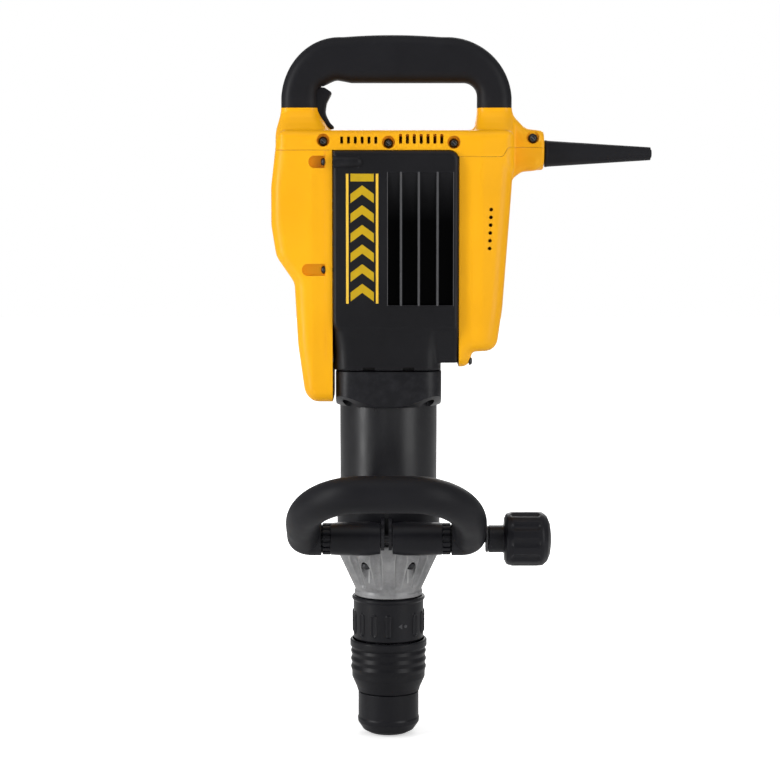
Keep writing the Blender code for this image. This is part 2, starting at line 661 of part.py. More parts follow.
def make_gearcase():
    case = crowned("gearcase", CASE_CORNERS, CASE_HALF_Y, 6.0, seg=3, layers=2)
    cut(case, block("case_bottom", (-80, 80), (-70, 70), (360, 387.8)))
    # the lower part draws in to meet the round barrel
    for sx, sy, _ in CORNERS:
        drill(case, "case_waist", 13.0, (sx * 63.0, sx * 66.0), (sy * 64.0, sy * 67.0),
              (380, 440.0), 12)
    cut(case, block("case_room", (-48.0, 90.0), (-46.5, 46.5), (401.0, 606.5)))
    for side in (-1, 1):
        for x in FIN_GROOVES:
            cut(case, block("fin_groove", x, (side * 49.0, side * 60), (455.0, 589.5)))
        join(case, rod("case_lug", 6.4, (-55.8, -29.0), side * 50.8, 600.0, 12))
    for name, radius, z, steps in CASE_BORES:
        drill(case, name, radius, (-70, -40), 0, z, steps)
    drill(case, "bore_cylinder", CYL_CLEAR_R, 0, 0, (380, 410), 22)
    for sx, sy, _ in CORNERS:
        drill(case, "flange_hole", FLANGE_HOLE_R, sx * FLANGE_SCREW, sy * FLANGE_SCREW,
              (380, 399.0), 8)
    for side in (-1, 1):
        for z in COVER_SCREWS:
            drill(case, "cover_tap", TAP_R, (-58, -44.0), side * COVER_SCREW_Y, z, 8)
        drill(case, "tab_tap", TAP_R, (68.0, 73.0), side * TAB_SCREW_Y, TAB_SCREW_Z, 8)
    finish(case, BLACK, rough=0.42, metal=0.2)


def make_barrel_flange():
    """The square flange under the case, its corners sloping down towards the barrel."""
    flange = plate("barrel_flange", fillet(FLANGE_CORNERS, 5), 18.6, at=(0, 0, 368.5),
                   rot=(0, 0, 0))
    cut(flange, lathe("flange_skirt",
                      [(53.0, 349.0), (92.0, 380.5), (92.0, 340.0), (53.0, 340.0)], 26))
    drill(flange, "flange_bore", BARREL_R + 0.7, 0, 0, (340, 381.0), 26)
    drill(flange, "flange_bore2", CYL_CLEAR_R, 0, 0, (370, 395), 18)
    for sx, sy, _ in CORNERS:
        x, y = sx * FLANGE_SCREW, sy * FLANGE_SCREW
        drill(flange, "flange_pocket", 7.4, x, y, (340, 368.0), 16)
        drill(flange, "flange_clear", FLANGE_HOLE_R, x, y, (360, 390), 8)
    finish(flange, BLACK, rough=0.42, metal=0.2)
    for sx, sy, tag in CORNERS:
        screw_piece(f"flange_screw_{tag}", (sx * FLANGE_SCREW, sy * FLANGE_SCREW, 363.6),
                    SHANK_UP, head_r=5.0, head_h=4.0, shank_r=3.0, length=32.0)


def make_barrel():
    barrel = lathe("barrel_tube", [
        (BARREL_BORE, 380.0), (BARREL_R - 0.6, 380.0), (BARREL_R, 379.4), (BARREL_R, 206.6),
        (BARREL_BORE, 206.6),
    ], 26)
    finish(barrel, BLACK, rough=0.3, metal=0.6)


def make_cylinder():
    cylinder = lathe("cylinder", [
        (CYL_BORE, 424.0), (CYL_R - 1, 424.0), (CYL_R - 1, 423.0), (CYL_R, 400.0),
        (CYL_R, 226.0), (CYL_BORE, 226.0),
    ], 18)
    finish(cylinder, STEEL, rough=0.3, metal=1.0)


def nose_screw_xy(angle):
    return (NOSE_SCREW_R * math.sin(math.radians(angle)),
            -NOSE_SCREW_R * math.cos(math.radians(angle)))


def make_nose_cone():
    """The fluted cone under the barrel and its four screws."""
    cone = lathe("nose_cone", [
        (27.0, 205.9), (52.0, 205.9), (52.2, 203.0), (51.6, 190.0), (34.8, 154.0),
        (35.6, 151.5), (35.6, 147.4), (27.0, 147.4),
    ], 26)
    bm = bmesh.new()
    for k in range(12):
        turn = Matrix.Rotation(math.radians(15 + 30 * k), 4, "Z")
        low, top = turn @ Vector((39.8, 0, 158.0)), turn @ Vector((57.0, 0, 200.0))
        add_cone(bm, low, top, 4.6, 7.0, 8)
    cut(cone, from_bmesh("cone_flutes", bm))
    for angle, _ in NOSE_SCREWS:
        x, y = nose_screw_xy(angle)
        drill(cone, "nose_pocket", 5.0, x, y, (170, 196.0), 16)
        drill(cone, "nose_hole", 2.6, x, y, (190, 210.0), 8)
    finish(cone, ALUMINIUM, rough=0.42, metal=0.85)
    for angle, tag in NOSE_SCREWS:
        screw_piece(f"nose_screw_{tag}", (*nose_screw_xy(angle), 192.0), SHANK_UP,
                    shank_r=2.3, length=14.0)


# ---------------------------------------------------------------- motor and gear train
MOTOR_CENTRE = (0, 0, MOTOR_Z)
SHAFT_BORE = 7.4             # radius of the holes for the armature shaft
GEARS_MID_X = -76.0          # middle of the crank gear, along the shafts
CRANK_GEAR_BORE = 12.4


def make_field_stack():
    stack = lathe("field_stack", [
        (29.0, 57.0), (38.0, 57.0), (42.0, 54.0), (43.0, 47.0), (45.4, 47.0), (45.4, -20.0),
        (43.0, -20.0), (42.0, -28.0), (38.0, -30.5), (29.0, -30.5),
    ], 18, at=MOTOR_CENTRE, rot=ALONG_X)
    for s in (-1, 1):
        cut(stack, block("stack_flat", (-40, 70), (-60, 60),
                         (MOTOR_Z + s * 39.0, MOTOR_Z + s * 60)))
    finish(stack, DARK_STEEL, rough=0.5, metal=0.7)


def make_armature_core():
    """The slotted core with its winding ends and commutator."""
    core_x = 13.0
    slotted = repeated_outline(12, ((20.5, -12.0), (28.0, -11.0), (28.0, 11.0), (20.5, 12.0)))
    core = plate("armature_core", slotted, 33.0, at=(core_x, 0, MOTOR_Z), rot=STAND_YZ)
    join(core, rod("winding_a", 20.0, (-28, -19), 0, MOTOR_Z, 12),
         rod("winding_b", 20.0, (45, 54), 0, MOTOR_Z, 12),
         rod("commutator", 16.0, (53, 74), 0, MOTOR_Z, 12))
    drill(core, "core_bore", SHAFT_BORE, (-60, 90), 0, MOTOR_Z, 12)
    set_origin(core, (core_x, 0, MOTOR_Z))
    finish(core, COPPER, rough=0.45, metal=0.9)


def make_fan():
    fan = lathe("cooling_fan", [
        (SHAFT_BORE, -33.5), (11.0, -33.5), (12.0, -41.5), (41.0, -41.5), (41.0, -43.6),
        (SHAFT_BORE, -43.6),
    ], 18, at=MOTOR_CENTRE, rot=ALONG_X)
    for k in range(9):
        blade = block("fan_blade", (-42.2, -34.0), (-1.1, 1.1), (10.5, 39.0))
        blade.data.transform(Matrix.Rotation(math.radians(40 * k), 4, "X"))
        blade.location = Vector(MOTOR_CENTRE) * MM
        join(fan, blade)
    finish(fan, BLACK, rough=0.5)


def make_armature_shaft():
    """The stepped shaft with its pinion, one tooth of which points down into the next gear."""
    shaft = lathe("armature_shaft", [
        (0.0, 105.5), (5.9, 105.5), (5.9, 90.0), (7.0, 89.5), (7.0, -46.0), (5.9, -46.5),
        (5.9, -84.0), (4.4, -84.5), (4.4, -97.0), (0.0, -97.0),
    ], 16, at=MOTOR_CENTRE, rot=ALONG_X)
    join(shaft, gear("armature_pinion", MODULE_1, ARMATURE_TEETH, MOTOR_Z, -96.0, -86.0, -90.0))
    set_origin(shaft, MOTOR_CENTRE)
    finish(shaft, STEEL, rough=0.3, metal=1.0)


def make_intermediate_gear():
    """Gear, pinion and shaft in one; the gear has a gap on top and the pinion a tooth below."""
    middle = gear("intermediate_gear", MODULE_1, MID_GEAR_TEETH, MID_Z, -95.5, -86.5,
                  90.0 + 180.0 / MID_GEAR_TEETH)
    join(middle, gear("intermediate_pinion", MODULE_2, MID_PINION_TEETH, MID_Z,
                      -88.0, -67.0, -90.0))
    join(middle, rod("intermediate_shaft", 6.0, (-99.5, -49.0), 0, MID_Z, 12))
    set_origin(middle, (GEARS_MID_X, 0, MID_Z))
    finish(middle, STEEL, rough=0.35, metal=1.0)


def make_crank():
    """The crank gear, the crankshaft with its disc, and the ring of its bearing."""
    crank_gear = gear("crank_gear", MODULE_2, CRANK_GEAR_TEETH, CRANK_Z, -83.0, -69.0,
                      90.0 + 180.0 / CRANK_GEAR_TEETH)
    drill(crank_gear, "crank_gear_bore", CRANK_GEAR_BORE, (-100, -50), 0, CRANK_Z, 16)
    set_origin(crank_gear, (GEARS_MID_X, 0, CRANK_Z))
    finish(crank_gear, STEEL, rough=0.35, metal=1.0)

    crank = lathe("crankshaft", [
        (0.0, -16.0), (29.0, -16.0), (30.0, -17.0), (30.0, -30.0), (12.0, -30.5),
        (12.0, -86.0), (11.0, -87.0), (0.0, -87.0),
    ], 16, at=(0, 0, CRANK_Z), rot=ALONG_X)
    set_origin(crank, (-30.0, 0, CRANK_Z))
    finish(crank, STEEL, rough=0.3, metal=1.0)

    left, right = -57.0, -45.0
    outer, bore, chamfer = 20.7, 12.3, 0.8
    ring = lathe("crank_bearing", [
        (bore, right), (outer - chamfer, right), (outer, right - chamfer),
        (outer, left + chamfer), (outer - chamfer, left), (bore, left),
    ], 16, at=(0, 0, CRANK_Z), rot=ALONG_X)
    finish(ring, STEEL, rough=0.25, metal=1.0)


def make_brush_holders():
    for side, tag in Y_SIDES:
        holder = block(f"brush_holder_{tag}", (59.5, 71.5), (side * 16.6, side * 40.0),
                       (MOTOR_Z - 6.5, MOTOR_Z + 6.5), bevel=0.8)
        finish(holder, BRASS, rough=0.4, metal=0.9)


# ---------------------------------------------------------------- percussion mechanism
PISTON_R = 22.2              # also the ram's
WRIST_BORE = 5.3

# corners y, z, radius, from the left of the small end
CONROD_CORNERS = [
    (-6.2, 400.0, 3), (-10.5, WRIST_Z + 3, 5), (-10.5, WRIST_Z - 8, 8),
    (10.5, WRIST_Z - 8, 8), (10.5, WRIST_Z + 3, 5), (6.2, 402.0, 3), (7.4, 468.0, 3),
    (13.0, PIN_Z - 4, 6), (13.0, PIN_Z + 12.5, 9), (-13.0, PIN_Z + 12.5, 9),
    (-13.0, PIN_Z - 4, 6), (-7.4, 468.0, 3),
]


def make_connecting_rod():
    conrod = plate("connecting_rod", fillet(CONROD_CORNERS, 3), 7.0, rot=STAND_YZ)
    drill(conrod, "big_end", 7.3, (-20, 20), 0, PIN_Z, 14)
    drill(conrod, "small_end", WRIST_BORE, (-20, 20), 0, WRIST_Z, 12)
    finish(conrod, STEEL, rough=0.35, metal=1.0)
    pin = rod("crank_pin", 7.0, (-15.4, 8.5), 0, PIN_Z, 12)
    finish(pin, STEEL, rough=0.3, metal=1.0)


def make_piston():
    """The piston with its ring groove and rod slot, and the wrist pin."""
    piston = lathe("piston", [
        (0.0, WRIST_Z + 14.0), (21.4, WRIST_Z + 14.0), (PISTON_R, WRIST_Z + 13.2),
        (PISTON_R, WRIST_Z - 20.0), (20.4, WRIST_Z - 20.2), (20.4, WRIST_Z - 24.0),
        (PISTON_R, WRIST_Z - 24.2), (PISTON_R, WRIST_Z - 29.0), (0.0, WRIST_Z - 29.0),
    ], 18)
    cut(piston, block("piston_slot", (-7.5, 7.5), (-13.0, 13.0),
                      (WRIST_Z - 10.5, WRIST_Z + 30)))
    drill(piston, "piston_bore", WRIST_BORE, (-30, 30), 0, WRIST_Z, 12)
    finish(piston, ALUMINIUM, rough=0.35, metal=0.9)
    pin = rod("wrist_pin", 5.0, (-19.5, 19.5), 0, WRIST_Z, 12)
    finish(pin, STEEL, rough=0.3, metal=1.0)


def make_ram():
    ram = lathe("ram", [
        (0.0, 312.0), (20.8, 312.0), (PISTON_R, 310.6), (PISTON_R, 302.0), (20.6, 301.8),
        (20.6, 298.0), (PISTON_R, 297.8), (PISTON_R, 270.0), (18.0, 262.0), (0.0, 262.0),
    ], 18)
    finish(ram, STEEL, rough=0.3, metal=1.0)


def make_impact_bolt():
    bolt = lathe("impact_bolt", [
        (0.0, 236.0), (11.4, 236.0), (12.4, 235.0), (12.4, 208.0), (20.0, 203.0),
        (20.0, 192.0), (12.4, 186.0), (12.4, 110.0), (9.0, 104.0), (0.0, 104.0),
    ], 16)
    finish(bolt, STEEL, rough=0.3, metal=1.0)


# ---------------------------------------------------------------- chuck
def make_tool_holder():
    holder = lathe("tool_holder", [
        (SHANK_BORE, 98.0), (13.0, 99.0), (13.0, 178.0), (25.6, 178.0), (26.2, 177.0),
        (26.2, 148.0), (23.6, 147.0), (23.6, 13.0), (22.6, 12.0), (SHANK_BORE, 12.0),
    ], 18)
    finish(holder, STEEL, rough=0.35, metal=1.0)


def make_index_collar():
    """The collar with a ring of upright ribs."""
    collar = lathe("index_collar", [
        (24.2, 146.6), (37.4, 146.6), (38.4, 145.4), (38.4, 143.4), (36.9, 141.8),
        (36.8, 102.4), (35.6, 100.8), (24.2, 100.8),
    ], 28)
    count = 14
    place = Matrix.Translation((36.6 * MM, 0, 115.5 * MM))
    size = Matrix.Diagonal((2.2 * MM, 5.0 * MM, 23.0 * MM, 1))
    bm = bmesh.new()
    for k in range(count):
        turn = Matrix.Rotation(math.radians(360 / count * (k + 0.5)), 4, "Z")
        bmesh.ops.create_cube(bm, size=1.0, matrix=turn @ place @ size)
    join(collar, from_bmesh("collar_ribs", bm))
    finish(collar, BLACK, rough=0.45)


def make_locking_sleeve():
    sleeve = lathe("locking_sleeve", [
        (38.4, 98.2), (39.2, 98.2), (40.4, 97.0), (40.4, 93.6), (38.6, 90.8), (39.7, 87.4),
        (38.6, 83.0), (39.7, 78.8), (38.6, 74.6), (39.7, 70.4), (38.6, 66.0), (38.4, 60.0),
        (33.4, 48.4), (32.4, 45.0), (24.3, 45.0), (24.3, 86.5), (38.4, 88.5),
    ], 24)
    finish(sleeve, RUBBER, rough=0.6)


def make_nose_cap():
    cap = lathe("nose_cap", [
        (24.2, 44.2), (32.0, 44.2), (32.4, 43.6), (32.4, 16.0), (33.0, 14.6), (32.9, 11.0),
        (28.5, 3.6), (22.5, 0.0), (9.9, 0.0), (9.9, 11.4), (24.2, 11.6),
    ], 20)
    finish(cap, RUBBER, rough=0.6)


# ---------------------------------------------------------------- loop handle on its clamp
LOOP_Y, LOOP_Z = -72.0, 218.0    # clamp bolt axis, along X
CLAMP_AXIS = (0, LOOP_Y, LOOP_Z)
LOOP_X = -2.0                    # middle of the loop handle
LOOP_TILT = 31.0                 # degrees above horizontal
LOOP_HALF = 84.5                 # half distance between the loop's legs
LOOP_REACH = 112.0
LOOP_TUBE = 17.0                 # radius at the legs
LOOP_SWELL = 1.2                 # added to the radius at full reach
SWELL_START = 40.0               # distance from the bolt where the swelling begins
LEG_END = 66.4                   # from the loop's middle to its inner ends
CLAMP_HOLE_R = 4.6               # clearance for the clamp bolt
EARS_X = ((-7.4, -4.2), (0.2, 3.4))    # x ranges of the clamp's ears


def make_clamp_band():
    """The band round the barrel, split between its two ears."""
    band = lathe("clamp_band", [
        (51.0, 242.0), (53.2, 242.0), (53.8, 241.4), (53.8, 207.0), (53.2, 206.4),
        (51.0, 206.4),
    ], 26)
    for x in EARS_X:
        join(band, block("clamp_ear", x, (LOOP_Y - 11.5, -51.6), (207.4, LOOP_Z + 12.0)))
    cut(band, block("clamp_gap", (EARS_X[0][1], EARS_X[1][0]), (-95.0, -45.0), (200, 250)))
    drill(band, "clamp_eye", CLAMP_HOLE_R, (-20, 20), LOOP_Y, LOOP_Z, 12)
    finish(band, DARK_STEEL, rough=0.35, metal=0.9)


def make_clamp_sleeve(name, x, side):
    """A sleeve from an ear out towards a leg of the loop, with a toothed ring at its end."""
    sleeve = lathe(name, [
        (0.0, 51.6), (16.6, 51.6), (16.8, 51.2), (17.4, 14.0), (16.0, 0.4), (15.4, 0.0),
        (0.0, 0.0),
    ], 16, at=(x, LOOP_Y, LOOP_Z), rot=(0, side * math.pi / 2, 0))
    toothed = repeated_outline(16, ((14.4, -5.6), (16.2, -2.8), (16.2, 2.8)))
    ring_half = 4.0
    join(sleeve, plate(name + "_ring", toothed, ring_half,
                       at=(x + side * (51.4 + ring_half), LOOP_Y, LOOP_Z), rot=STAND_YZ))
    drill(sleeve, name + "_bore", CLAMP_HOLE_R, (x - 80, x + 80), LOOP_Y, LOOP_Z, 12)
    finish(sleeve, BLACK, rough=0.5)


def make_loop_handle():
    """The loop lies in a plane tilted up from the bolt axis: across is along X, out leads away."""
    path = fillet([
        (-LEG_END, 0.0, 0), (-LOOP_HALF, 0.0, 19.0), (-LOOP_HALF - 1.0, LOOP_REACH, 46.0),
        (LOOP_HALF + 1.0, LOOP_REACH, 46.0), (LOOP_HALF, 0.0, 19.0), (LEG_END, 0.0, 0),
    ], 5)
    tilt = math.radians(LOOP_TILT)
    points = [(LOOP_X + across, LOOP_Y - out * math.cos(tilt), LOOP_Z + out * math.sin(tilt))
              for across, out in path]
    swell_length = LOOP_REACH - SWELL_START
    radii = [LOOP_TUBE + LOOP_SWELL * max(0.0, (out - SWELL_START) / swell_length)
             for _, out in path]
    loop = tube("loop_handle", points, LOOP_TUBE, 3, radii)
    drill(loop, "loop_bore", CLAMP_HOLE_R, (-130, 130), LOOP_Y, LOOP_Z, 12)
    drill(loop, "loop_recess", 8.2, (-130, -90.0), LOOP_Y, LOOP_Z, 12)
    drill(loop, "loop_face", 15.0, (98.4, 130), LOOP_Y, LOOP_Z, 12)
    set_origin(loop, (LOOP_X, LOOP_Y, LOOP_Z))
    finish(loop, RUBBER, rough=0.5)


def make_clamp_bolt():
    bolt = lathe("clamp_bolt", [
        (0.0, 148.0), (3.6, 148.0), (4.1, 147.4), (4.1, -90.6), (7.4, -90.6), (7.4, -95.4),
        (6.6, -96.2), (0.0, -96.2),
    ], 16, at=CLAMP_AXIS, rot=ALONG_X)
    finish(bolt, STEEL, rough=0.35, metal=1.0)
    washer = lathe("knob_washer", [
        (CLAMP_HOLE_R, 101.4), (13.2, 101.4), (13.6, 101.0), (13.6, 99.2), (13.2, 98.8),
        (CLAMP_HOLE_R, 98.8),
    ], 16, at=CLAMP_AXIS, rot=ALONG_X)
    set_origin(washer, (100.0, LOOP_Y, LOOP_Z))
    finish(washer, STEEL, rough=0.35, metal=1.0)


def make_clamp_knob():
    """The fluted knob on the right end of the bolt."""
    knob = lathe("clamp_knob", [
        (0.0, 165.7), (14.0, 164.8), (22.0, 162.4), (26.2, 158.6), (27.6, 154.0),
        (27.6, 125.0), (25.8, 119.8), (22.0, 117.9), (14.0, 117.5), (14.0, 101.9),
        (CLAMP_HOLE_R, 101.9), (CLAMP_HOLE_R, 150.0), (0.0, 150.0),
    ], 20, at=CLAMP_AXIS, rot=ALONG_X)
    flute_x, flute_circle, flute_r, flute_length = 139.0, 31.8, 6.0, 30.0
    bm = bmesh.new()
    for k in range(10):
        angle = math.radians(36 * k + 18)
        place = Matrix.Translation((flute_x * MM, flute_circle * MM * math.cos(angle),
                                    flute_circle * MM * math.sin(angle)))
        bmesh.ops.create_cone(
            bm, cap_ends=True, segments=8, radius1=flute_r * MM, radius2=flute_r * MM,
            depth=flute_length * MM, matrix=place @ Matrix.Rotation(math.pi / 2, 4, "Y"))
    cut(knob, from_bmesh("knob_flutes", bm, at=CLAMP_AXIS))
    set_origin(knob, (120.0, LOOP_Y, LOOP_Z))
    finish(knob, BLACK, rough=0.5)


# ---------------------------------------------------------------- assembly
make_grip()
make_handle_shell("handle_shell_front", -1)
make_handle_shell("handle_shell_back", 1)
make_trigger()
make_switch()
make_handle_screws()
make_cord()

make_drive_cover()
make_motor_cover()

make_gearcase()
make_barrel_flange()
make_barrel()
make_cylinder()
make_nose_cone()

make_field_stack()
make_armature_core()
make_fan()
make_armature_shaft()
make_intermediate_gear()
make_crank()
make_brush_holders()

make_connecting_rod()
make_piston()
make_ram()
make_impact_bolt()

make_tool_holder()
make_index_collar()
make_locking_sleeve()
make_nose_cap()

make_clamp_band()
make_clamp_sleeve("clamp_sleeve_left", -7.9, -1)
make_clamp_sleeve("clamp_sleeve_right", 3.9, 1)
make_loop_handle()
make_clamp_bolt()
make_clamp_knob()

for piece in bpy.data.objects:
    piece.location.x += AXIS_X_POS * MM
    piece.location.y += AXIS_Y_POS * MM
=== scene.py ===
"""Looks of a demolition hammer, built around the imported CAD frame.

Lengths are in mm about the striking axis: +Z runs up from the nose end, -Y is the front, where
the loop handle reaches out, and +X is the right, towards the power cord. done() moves each piece
to where that axis stands in the frame.
"""
import math

import bmesh
import bpy
from mathutils import Matrix, Vector

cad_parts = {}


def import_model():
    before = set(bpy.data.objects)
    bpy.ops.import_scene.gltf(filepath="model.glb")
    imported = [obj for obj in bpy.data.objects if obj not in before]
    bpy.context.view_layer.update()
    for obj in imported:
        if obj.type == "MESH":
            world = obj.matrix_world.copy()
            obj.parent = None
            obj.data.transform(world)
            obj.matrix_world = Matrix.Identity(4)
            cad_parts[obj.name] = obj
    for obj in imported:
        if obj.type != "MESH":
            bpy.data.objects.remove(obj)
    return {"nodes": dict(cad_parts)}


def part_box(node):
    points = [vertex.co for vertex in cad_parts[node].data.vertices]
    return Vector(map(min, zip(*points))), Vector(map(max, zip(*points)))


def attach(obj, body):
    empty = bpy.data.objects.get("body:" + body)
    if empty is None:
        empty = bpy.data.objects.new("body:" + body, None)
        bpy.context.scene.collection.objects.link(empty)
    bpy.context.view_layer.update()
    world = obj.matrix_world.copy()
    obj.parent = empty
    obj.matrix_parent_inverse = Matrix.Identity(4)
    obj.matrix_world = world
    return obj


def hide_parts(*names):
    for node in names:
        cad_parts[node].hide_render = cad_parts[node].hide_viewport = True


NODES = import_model()["nodes"]
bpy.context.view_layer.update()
SCENE = bpy.context.scene
MM = 0.001
BARREL_LOW, BARREL_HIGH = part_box("barrel_tube")
# foot of the striking axis in the frame, in metres
HAMMER = Vector(((BARREL_LOW[0] + BARREL_HIGH[0]) / 2, (BARREL_LOW[1] + BARREL_HIGH[1]) / 2, 0))
# turns that take the +Z of a shape to another direction
TO_RIGHT = Matrix.Rotation(math.pi / 2, 4, "Y")
TO_LEFT = Matrix.Rotation(-math.pi / 2, 4, "Y")
TO_FRONT = Matrix.Rotation(math.pi / 2, 4, "X")
TO_DOWN = Matrix.Rotation(math.pi, 4, "X")

# ---------------------------------------------------------------- shared dimensions
SIDES = ((-1, "front"), (1, "back"))      # sign of y, name
HOUSING_BOTTOM, GRIP_SEAM = 612.2, 655.6
LEFT_LEG, RIGHT_LEG = (-110.5, -72.2), (91.5, 127)      # x spans of the grip's legs
MOTOR_Z, CRANK_Z, MID_Z = 556, 466, 518.5
CORD_Z = 609
LOOP_X, LOOP_Y, LOOP_Z = -2, -72, 218      # middle of the loop handle's pivot
PIVOT_HOLE_R = 4.7
TRIGGER_X, TRIGGER_Z = -68, 638.5
HANDLE_SCREWS = (      # x, z, half depth of the housing there
    (-66.2, 621, 50), (0, 619, 50), (66.3, 619, 50), (148.2, 624.5, 21))
COVER_SCREWS = (("upper", 600.2, -81), ("lower", 490.8, -88))      # name, z, left end of pocket
COVER_SCREW_Y = 46.5
TAB_SCREW_Y, TAB_SCREW_Z = 38, 397
FLANGE_SCREWS = [      # name, x, y
    (f"{across}_{along}", sign_x * 39.8, sign_y * 39.8)
    for sign_x, across in ((-1, "left"), (1, "right")) for sign_y, along in SIDES]
NOSE_SCREWS = [      # name, x, y
    (name, 45.6 * math.sin(math.radians(turn)), -45.6 * math.cos(math.radians(turn)))
    for name, turn in (("front_right", 30), ("back_right", 150),
                       ("back_left", 210), ("front_left", 330))]


# ---------------------------------------------------------------- numbers and outlines
def smoothstep(start, end, value):
    ratio = min(1, max(0, (value - start) / (end - start)))
    return ratio * ratio * (3 - 2 * ratio)


def soft_min(one, other, blend):
    near = max(blend - abs(one - other), 0) / blend
    return min(one, other) - near * near * blend / 4


def rounding(points, i, share, straight):
    """Point i, unit directions back and ahead, their angle, and the reach of its fillet along
    them, which is 0 where the point stays sharp. share limits the reach on each span."""
    point = Vector(points[i][:2])
    radius = points[i][2] if len(points[i]) > 2 else 0
    back = Vector(points[i - 1][:2]) - point
    ahead = Vector(points[(i + 1) % len(points)][:2]) - point
    room = share * min(back.length, ahead.length)
    back.normalize()
    ahead.normalize()
    angle = back.angle(ahead, 0)
    if min(radius, room) < 1e-6 or angle > math.pi - straight:
        return point, back, ahead, angle, 0
    return point, back, ahead, angle, min(radius / math.tan(angle / 2), room)


def fillet(corners, seg=8):
    """Corners (x, y, radius) as a closed outline, each rounded by a true arc."""
    outline = []
    for i in range(len(corners)):
        point, back, ahead, angle, reach = rounding(corners, i, 0.49, 1e-3)
        if not reach:
            outline.append((point.x, point.y))
            continue
        radius = reach * math.tan(angle / 2)
        centre = point + (back + ahead).normalized() * (radius / math.sin(angle / 2))
        start, end = point + back * reach - centre, point + ahead * reach - centre
        turn = start.angle_signed(end)
        steps = max(2, round(seg * abs(turn) / (math.pi / 2)))
        for k in range(steps + 1):
            swing = -turn * k / steps
            cos, sin = math.cos(swing), math.sin(swing)
            outline.append((centre.x + start.x * cos - start.y * sin,
                            centre.y + start.x * sin + start.y * cos))
    return outline


def rounded_path(points, seg=6):
    """An open profile (radius, height, fillet) with its inner corners rounded by parabolas."""
    path = [tuple(points[0][:2])]
    for i in range(1, len(points) - 1):
        point, back, ahead, _, reach = rounding(points, i, 0.48, 1e-2)
        if not reach:
            path.append((point.x, point.y))
            continue
        start, end = point + back * reach, point + ahead * reach
        for k in range(seg + 1):
            part = k / seg
            spot = start * (1 - part) ** 2 + point * (2 * part * (1 - part)) + end * part ** 2
            path.append((spot.x, spot.y))
    path.append(tuple(points[-1][:2]))
    return path


def subdivided(path, step, to_count=math.ceil):
    """A path with each span split into equal parts of about one step."""
    fine = [path[0]]
    for start, end in zip(path, path[1:]):
        count = max(1, to_count(math.dist(start, end) / step))
        fine += [(start[0] + (end[0] - start[0]) * k / count,
                  start[1] + (end[1] - start[1]) * k / count) for k in range(1, count + 1)]
    return fine


def offset(corners, inset):
    """Counter-clockwise corners moved inward, each radius following."""
    moved = []
    for i, (x, y, radius) in enumerate(corners):
        point = Vector((x, y))
        along = (point - Vector(corners[i - 1][:2])).normalized()
        onward = (Vector(corners[(i + 1) % len(corners)][:2]) - point).normalized()
        normal, next_normal = Vector((-along.y, along.x)), Vector((-onward.y, onward.x))
        bend = along.cross(onward)
        point = point + normal * inset
        if abs(bend) >= 1e-6:
            slide = (next_normal - normal).dot(next_normal) * inset / along.dot(next_normal)
            point = point + along * slide
        if radius > 0:
            radius = max(radius - inset, 0.25) if bend > 0 else radius + inset
        moved.append((point.x, point.y, radius))
    return moved


def rounded_section(x0, x1, half_y, z, radius, seg=8):
    """A rounded rectangle at one height."""
    radius = min(radius, (x1 - x0) / 2 - 0.5, half_y - 0.5)
    corners = [(x0, -half_y, radius), (x1, -half_y, radius),
               (x1, half_y, radius), (x0, half_y, radius)]
    return [(x, y, z) for x, y in fillet(corners, seg)]


# ---------------------------------------------------------------- objects
def add_object(name, mesh):
    obj = bpy.data.objects.new(name, mesh)
    SCENE.collection.objects.link(obj)
    return obj


def from_shape(name, shape, matrix=None):
    """A finished bmesh as an object."""
    bmesh.ops.recalc_face_normals(shape, faces=shape.faces)
    if matrix is not None:
        shape.transform(matrix)
    mesh = bpy.data.meshes.new(name)
    shape.to_mesh(mesh)
    shape.free()
    return add_object(name, mesh)


def place(at=(0, 0, 0), turn=None):
    matrix = Matrix.Translation(Vector(at) * MM)
    return matrix @ turn if turn is not None else matrix


def bake(obj):
    """Apply the modifiers of an object."""
    bpy.context.view_layer.update()
    graph = bpy.context.evaluated_depsgraph_get()
    mesh = bpy.data.meshes.new_from_object(obj.evaluated_get(graph))
    old = obj.data
    obj.modifiers.clear()
    obj.data = mesh
    mesh.name = obj.name
    if old.users == 0:
        bpy.data.meshes.remove(old)
    return obj


def drop(*objs):
    for obj in objs:
        mesh = obj.data
        bpy.data.objects.remove(obj, do_unlink=True)
        if mesh.users == 0:
            bpy.data.meshes.remove(mesh)


def merged(name, *objs):
    """Several closed meshes as one mesh object."""
    shape = bmesh.new()
    for obj in objs:
        shape.from_mesh(obj.data)
    drop(*objs)
    return from_shape(name, shape)


# ---------------------------------------------------------------- solids
def skin(name, rings, matrix=None):
    """A closed skin through rings of points in metres, capped at both ends."""
    shape = bmesh.new()
    rows = [[shape.verts.new(point) for point in ring] for ring in rings]
    for low, high in zip(rows, rows[1:]):
        for i in range(len(low)):
            shape.faces.new((low[i - 1], low[i], high[i], high[i - 1]))
    shape.faces.new(rows[0])
    shape.faces.new(rows[-1])
    return from_shape(name, shape, matrix)


def loft(name, sections):
    """A closed loft through rings of (x, y, z)."""
    return skin(name, [[Vector(point) * MM for point in ring] for ring in sections])


def plate(name, outline, half, matrix=None):
    """A flat outline in XZ with thickness along Y."""
    return skin(name, [[(x * MM, y * MM, z * MM) for x, z in outline] for y in (-half, half)],
                matrix)


